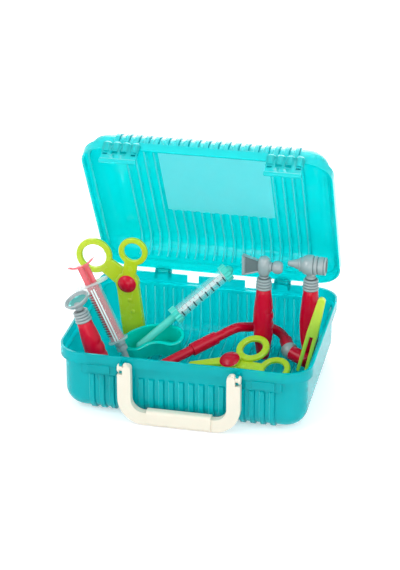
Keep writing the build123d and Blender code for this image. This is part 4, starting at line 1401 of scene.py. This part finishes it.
@dataclass
class Heads:
    """The grey heads of the mirror, the hammer and the ear scope."""

    mirror: Matrix = field(default_factory=lambda: lean((-86.4, -60.0, 6.65), -19.0))
    hammer: Matrix = field(default_factory=lambda: lean((56.9, 53.6, 4.5)))
    scope: Matrix = field(default_factory=lambda: lean((107.0, 61.4, 4.9)))
    cup_place: Point = (1.0, 0.0, 108.2)
    cup_facing: Point = (-0.44, -0.18, 0.88)
    hammer_middle: float = 110.8
    barrel_middle: float = 113.2

    def build(self) -> None:
        """Builds the three heads and their grips."""
        # The second grey is painted shade for the marked grooves and hollows.
        greys, red = [GREY.material(), GREY_PAINTED_SHADE.material()], RED.material()
        painted_mirror = self.painted_mirror()
        for name, pose, head in (
            ("mirror", self.mirror, self.mirror_head),
            ("hammer", self.hammer, self.hammer_head),
            ("otoscope", self.scope, self.scope_head),
        ):
            grip = Grip(f"{name}_handle", pose)
            body = grip.build()
            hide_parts(f"{name}_grip")
            hand_over(body, name, [red])
            top = join(f"{name}_top", [grip.collar(), *head(pose)])
            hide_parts(f"{name}_head")
            hand_over(top, name, greys)
        disc = self.mirror_glass()
        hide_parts("mirror_disc")
        hand_over(disc, "mirror", [painted_mirror])

    def cup_pose(self) -> Matrix:
        """Where the mirror's cup sits."""
        return facing(self.mirror @ (Vector(self.cup_place) * MM), self.cup_facing)

    def mirror_head(self, pose: Matrix) -> list[Object]:
        """The mirror's ball neck and its cup with a double rim.

        Args:
            pose: Where the mirror's foot is and how it leans.

        Returns:
            The neck and the cup.
        """
        neck = Turned("neck", [(3.4, 96.6), *oval(4.6, 97.4, 106.0, 3.0)], 32).build(pose)
        cup = [(3.0, -4.6), (7.5, -4.2), (11.2, -2.8), (13.2, -0.8), (14.0, 1.0)]
        cup += [(14.3, 1.6), (14.2, 2.3), (13.7, 2.8), (13.0, 2.9), (12.4, 2.5), (12.2, 1.7), (12.0, 1.3)]
        cup += [(11.6, 1.5), (11.1, 1.4), (10.8, 0.9), (10.4, -0.4)]
        cup += [(9.4, -1.4), (7.0, -2.2), (3.0, -2.6), (0.3, -2.7)]
        return [neck, Turned("cup", cup, 56).build(self.cup_pose())]

    def mirror_glass(self) -> Object:
        """The hollow silvered disc that lines the cup.

        Returns:
            The disc.
        """
        rings = [(0.3, -2.6), (3.0, -2.5), (7.0, -2.1), (9.3, -1.3), (10.3, -0.3)]
        rings += [(10.5, -0.2), (9.4, -1.0), (7.0, -1.8), (3.0, -2.2), (0.3, -2.3)]
        return Turned("mirror_glass", rings, 48).build(self.cup_pose())

    def painted_mirror(self) -> Material:
        """A partly metallic mirror whose teal colour is a painted reflection of the case.

        Returns:
            The material.
        """
        made = TEAL_PAINTED_REFLECTION.nodes()
        made.shader.inputs["Metallic"].default_value = 0.45
        return made.material

    def hammer_head(self, pose: Matrix) -> list[Object]:
        """The hammer's boss, sunk wedge and flattened tapper.

        Args:
            pose: Where the hammer's foot is.

        Returns:
            The boss, the tapper and the wedge.
        """
        neck = [(3.4, 96.6), (4.6, 97.6), (5.2, 98.4), (5.0, 99.4)]
        boss = Turned("boss", [*neck, *oval(7.3, 99.6, 122.0, 2.6, 0.42)], 48).build(pose)
        side = pose @ lean((0, 0, self.hammer_middle), 90)
        tapper = [(4.2, 4.0), (5.2, 6.6), (5.6, 7.6), (5.2, 8.4), (4.4, 8.8), *oval(7.2, 9.0, 20.4, 3.2, 0.45)]
        wedge = self.wedge()
        wedge.data.transform(pose)
        return [boss, Turned("tapper", tapper, 40).build(side), wedge]

    def wedge(self) -> Object:
        """The hammer's wedge, with both of its faces sunk between its tip and its root.

        Returns:
            The wedge, with its sunk faces marked for painted shade.
        """
        tip, root, half, tall, middle = -24, -3, 3.6, 12, self.hammer_middle
        frame, sink, sunk_tip, sunk_root, sunk_half = 2.5, 2.2, -21, -6, 2
        wedge = block("wedge", (tip, -half, middle - tall), (root, half, middle + tall))
        edit(wedge, Pick.FACES)
        choose_faces(wedge, lambda m, n: n.x > FACING)
        bpy.ops.transform.resize(value=(1, 0.9, 0.46), center_override=(0, 0, middle * MM))
        choose_faces(wedge, lambda m, n: abs(n.y) > FACING)
        bpy.ops.mesh.inset(thickness=frame * MM, use_individual=True)
        for way in Side:
            choose_faces(wedge, lambda m, n: n.y * way > FACING and tip + frame < m.x < root - frame)
            bpy.ops.mesh.extrude_region_move(TRANSFORM_OT_translate={"value": (0, -way * sink * MM, 0)})
            bpy.ops.transform.resize(value=(0.94, 1, 0.94))
        deselect()
        soften(wedge, 0.7, 3, 30)

        def sunk(middle: Vector, normal: Vector) -> bool:
            """Whether a face lies in the sunk part."""
            return abs(normal.y) > FACING and abs(middle.y) < sunk_half and sunk_tip < middle.x < sunk_root

        mark_where(wedge, sunk, HeadMark.HOLLOW_PAINTED_SHADE)
        return wedge

    def scope_head(self, pose: Matrix) -> list[Object]:
        """The ear scope's neck, and its turned barrel from the tip to the eye cup.

        Args:
            pose: Where the ear scope's foot is.

        Returns:
            The neck and the barrel, with its grooves and eye cup marked for painted shade.
        """
        neck_rings = [(3.4, 96.6), *bead(4.2, 97.4, 100.4, 1.4), (4.4, 101.0), (4.4, 104.0)]
        neck = Turned("neck", neck_rings, 32).build(pose)
        axis = pose @ lean((0, 0, self.barrel_middle), 90)
        rings = [(1.6, -25.5), (2.4, -25.3), (2.9, -24.6), (3.6, -21.0), (4.8, -17.0), (6.4, -13.0)]
        rings += [(7.4, -12.7), (7.9, -12.0), (7.9, -11.2), (7.3, -10.7), (7.6, -10.3)]
        rings += [(9.2, -8.6), (10.6, -6.0), (11.3, -3.0), (11.4, -0.6), (11.2, 1.4), (10.8, 2.2)]
        rings += [(10.0, 2.6), (10.0, 3.4), (10.5, 3.8), (10.4, 6.0), (9.9, 6.6), (9.4, 7.0), (9.4, 8.0)]
        rings += [(9.9, 8.5), (9.9, 13.2), (9.5, 13.8), (9.5, 14.6), (9.9, 15.2), (9.8, 16.1), (9.2, 16.5)]
        rings += [(7.9, 16.5), (7.4, 16.0), (6.9, 13.0), (5.6, 9.0), (0.4, 8.0)]
        barrel = Turned("barrel", rings, 56).build(Matrix.Identity(4))
        grooves = ((2.5, 3.5), (6.9, 8.1), (13.7, 14.7))
        mark_where(barrel, lambda m, n: any(a < m.z < b for a, b in grooves), HeadMark.HOLLOW_PAINTED_SHADE)
        mark_where(barrel, lambda m, n: m.z > 7.9 and math.hypot(m.x, m.y) < 7.7, HeadMark.HOLLOW_PAINTED_SHADE)
        barrel.data.transform(axis)
        return [neck, barrel]


@dataclass
class BladeStuds:
    """The two moulded studs under the scissors' rivet."""

    pivot: Point = (-94.6, 49.6, 82.1)
    lean_angle: float = -6.5
    places: tuple[tuple[float, float], ...] = ((1.0, -19.5), (2.6, -33.5))
    radius: float = 2.6
    profile: tuple[Ring, ...] = ((1.0, 0.0), (0.96, 0.5), (0.8, 1.0), (0.5, 1.35))

    def build(self, node: Object) -> None:
        """Builds the studs on the front blade's face.

        Args:
            node: The front blade as it was packed.
        """
        blade = lean(self.pivot, self.lean_angle)
        front = min(v.co.y for v in node.data.vertices) / MM - self.pivot[1]
        rings = [(self.radius * share, height) for share, height in self.profile] + [(0.4, 1.5)]
        parts = []
        for x, z in self.places:
            pose = blade @ lean((x, front + 0.4, z)) @ Matrix.Rotation(QUARTER, 4, "X")
            parts.append(Turned("stud", rings, 28).build(pose))
        hand_over(join("blade_studs", parts), "scissors", [node.data.materials[0]])


@dataclass
class HandleEnds:
    """The round knob on top of each end of the handle and the lug outside its clip."""

    y: float = -111.0
    z: float = 63.0
    knob_x: float = 56.4
    knob_rise: float = 3.4
    shoulder_x: float = 54.6
    shoulder_half: float = 4.1
    shoulder_depth: float = 3.0
    shoulder_foot: float = 2.0
    shoulder_top: float = 2.6
    lug_x: float = 62.2

    def build(self) -> None:
        """Builds both ends."""
        cream = CREAM.material()
        knob = Turned("knob", oval(2.6, -2.4, 2.4, 1.2, 0.4), 28)
        lug = Turned("lug", [(3.0, 0.0), (4.2, 0.4), (4.4, 1.2), (4.2, 2.0), (3.4, 2.6)], 32)
        for side in Side:
            place = (side * self.knob_x, self.y, self.z + self.knob_rise)
            upper = knob.build(lean(place) @ Matrix.Rotation(QUARTER, 4, "X"))
            x, y, z = side * self.shoulder_x, self.y, self.z
            low = (x - self.shoulder_half, y - self.shoulder_depth, z - self.shoulder_foot)
            high = (x + self.shoulder_half, y + self.shoulder_depth, z + self.shoulder_top)
            shoulder = block("shoulder", low, high)
            soften(shoulder, 0.9, 3)
            outer = lug.build(lean((side * self.lug_x, y, z), side * 90))
            ends = join(f"handle_end_{side.word}", [upper, shoulder, outer])
            hand_over(ends, "handle", [cream])


@dataclass
class Kit:
    """The instruments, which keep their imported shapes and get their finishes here."""

    nodes: dict[str, Object]
    syringe: tuple[Point, Point] = ((-91.3, -6.0, 38.5), (-132.7, 5.9, 118.1))
    thermometer: tuple[Point, Point] = ((-72.9, 15.3, 24.1), (16.9, 77.1, 99.1))

    def pose(self, ends: tuple[Point, Point]) -> Matrix:
        """A pose at the first point with +Z towards the second and +X as level as that leaves it.

        Args:
            ends: The two points.

        Returns:
            The pose, in metres.
        """
        start, end = (Vector(p) * MM for p in ends)
        z = (end - start).normalized()
        x = (Vector((1, 0, 0)) - z * z.x).normalized()
        y = z.cross(x)
        turn = Matrix((x, y, z)).transposed().to_4x4()
        return Matrix.Translation(start) @ turn

    def dress(self) -> None:
        """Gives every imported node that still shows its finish."""
        plain = {
            CREAM: ("carrying_handle",),
            GREEN: ("scissors_front_half", "scissors_back_half", "forceps_upper_half", "forceps_lower_half"),
            LIME: ("tweezers",),
            RED: (
                *(f"stethoscope_{piece}" for piece in ("tube", "sleeve", "cuff", "bell")),
                *(f"{tool}_rivet" for tool in ("scissors", "forceps")),
            ),
            GREY: ("syringe_nozzle", "stethoscope_band"),
            DISH: ("kidney_dish",),
            KNOB: ("thermometer_stem", "thermometer_cap"),
            CLEAR_RED: ("syringe_plunger",),
        }
        for finish, names in plain.items():
            material = finish.material()
            for name in names:
                self.give(name, material)
        self.flanges()
        self.give("syringe_barrel", self.barrel_plastic())
        self.give("thermometer_tube", self.tube_plastic())
        self.give("thermometer_scale", self.scale_strip())

    def give(self, node: str, material: Material) -> None:
        """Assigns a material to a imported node.

        Args:
            node: The node's name.
            material: Its finish.
        """
        obj = self.nodes[node]
        obj.data.materials.clear()
        obj.data.materials.append(material)
        LOG.info("%s: %s", node, material.name)

    def barrel_plastic(self) -> Material:
        """Clear plastic with dark and red ticks on its left and two white streaks of painted highlight along
        it.

        Returns:
            The material.
        """
        made = CLEAR_BARREL.nodes()
        place = made.local(self.pose(self.syringe))
        near = made.math("LESS_THAN", place["Y"])
        ticks = made.both(made.ticks(place["Z"], 2.9, 0.45), near)
        marks = made.both(ticks, made.between(place["Z"], 7.0, 60.0))
        painted_highlight_streaks = made.both(near, made.between(place["Z"], 2.0, 64.0))
        # The white and pale grey are painted highlights; the black and red ticks are print.
        black, red = (0.02, 0.012, 0.015), (0.45, 0.012, 0.03)
        white, grey = (0.90, 0.94, 0.93), (0.88, 0.93, 0.92)
        for low, high, colour, mask in (
            (-9.0, -4.6, black, marks),
            (-4.6, -1.2, red, marks),
            (-0.9, 0.5, white, painted_highlight_streaks),
            (2.0, 3.2, grey, painted_highlight_streaks),
        ):
            made.paint(made.both(mask, made.between(place["X"], low, high)), colour)
        return made.material

    def flanges(self) -> None:
        """Builds the frosted finger flange and the barrel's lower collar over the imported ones."""
        pose = self.pose(self.syringe)
        x, y, low, high, corner = 19.8, 9.8, 67.7, 70.3, 9.5
        wing = block("wing", (-x, -y, low), (x, y, high))
        edit(wing)
        choose_edges(wing, lambda a, b: abs(a.z - b.z) > 1)
        bpy.ops.mesh.bevel(offset=corner * MM, segments=10, affect="EDGES")
        deselect()
        soften(wing, 0.5, 2)
        wing.data.transform(pose)
        rings = [(9.2, -0.3), (11.0, -0.2), (11.4, 0.4), (11.4, 1.8), (11.0, 2.4), (9.1, 2.5)]
        collar = Turned("collar", rings, 40).build(pose)
        hand_over(join("syringe_flanges", [wing, collar]), "syringe", [FLANGE.material()])

    def tube_plastic(self) -> Material:
        """Clear plastic with short black dashes along the tube's lower side.

        Returns:
            The material.
        """
        made, black = CLEAR_TUBE.nodes(), (0.01, 0.02, 0.03)
        place = made.local(self.pose(self.thermometer))
        side = made.math("GREATER_THAN", place["X"], 3.2 * MM)
        near = made.math("LESS_THAN", place["Y"], -2.0 * MM)
        dashes = made.both(made.ticks(place["Z"], 8.3, 0.17), side)
        made.paint(made.both(dashes, near), black)
        return made.material

    def scale_strip(self) -> Material:
        """White card with pink ticks across it, which fades at both of its edges.

        Returns:
            The material.
        """
        made, card, pink = CARD.nodes(), (0.86, 0.90, 0.90), (0.75, 0.20, 0.27)
        inputs = made.shader.inputs
        place = made.local(self.pose(self.thermometer))
        lines = made.both(made.ticks(place["Z"], 5.6, 0.13), made.math("LESS_THAN", place["X"], 0.2 * MM))
        made.link(made.mix(lines, card, pink), inputs["Base Color"])
        made.link(made.number(made.between(place["X"], -2.4, 2.2), 0.3, 1.0), inputs["Alpha"])
        return made.material


def main() -> None:
    logging.basicConfig(level=logging.INFO, format="%(name)s: %(message)s")
    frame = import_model()
    Stage().build()
    DoctorCase().build()
    Heads().build()
    HandleEnds().build()
    Kit(frame["nodes"]).dress()
    BladeStuds().build(frame["nodes"]["scissors_front_half"])
    deselect()


if __name__ == "__main__":
    main()
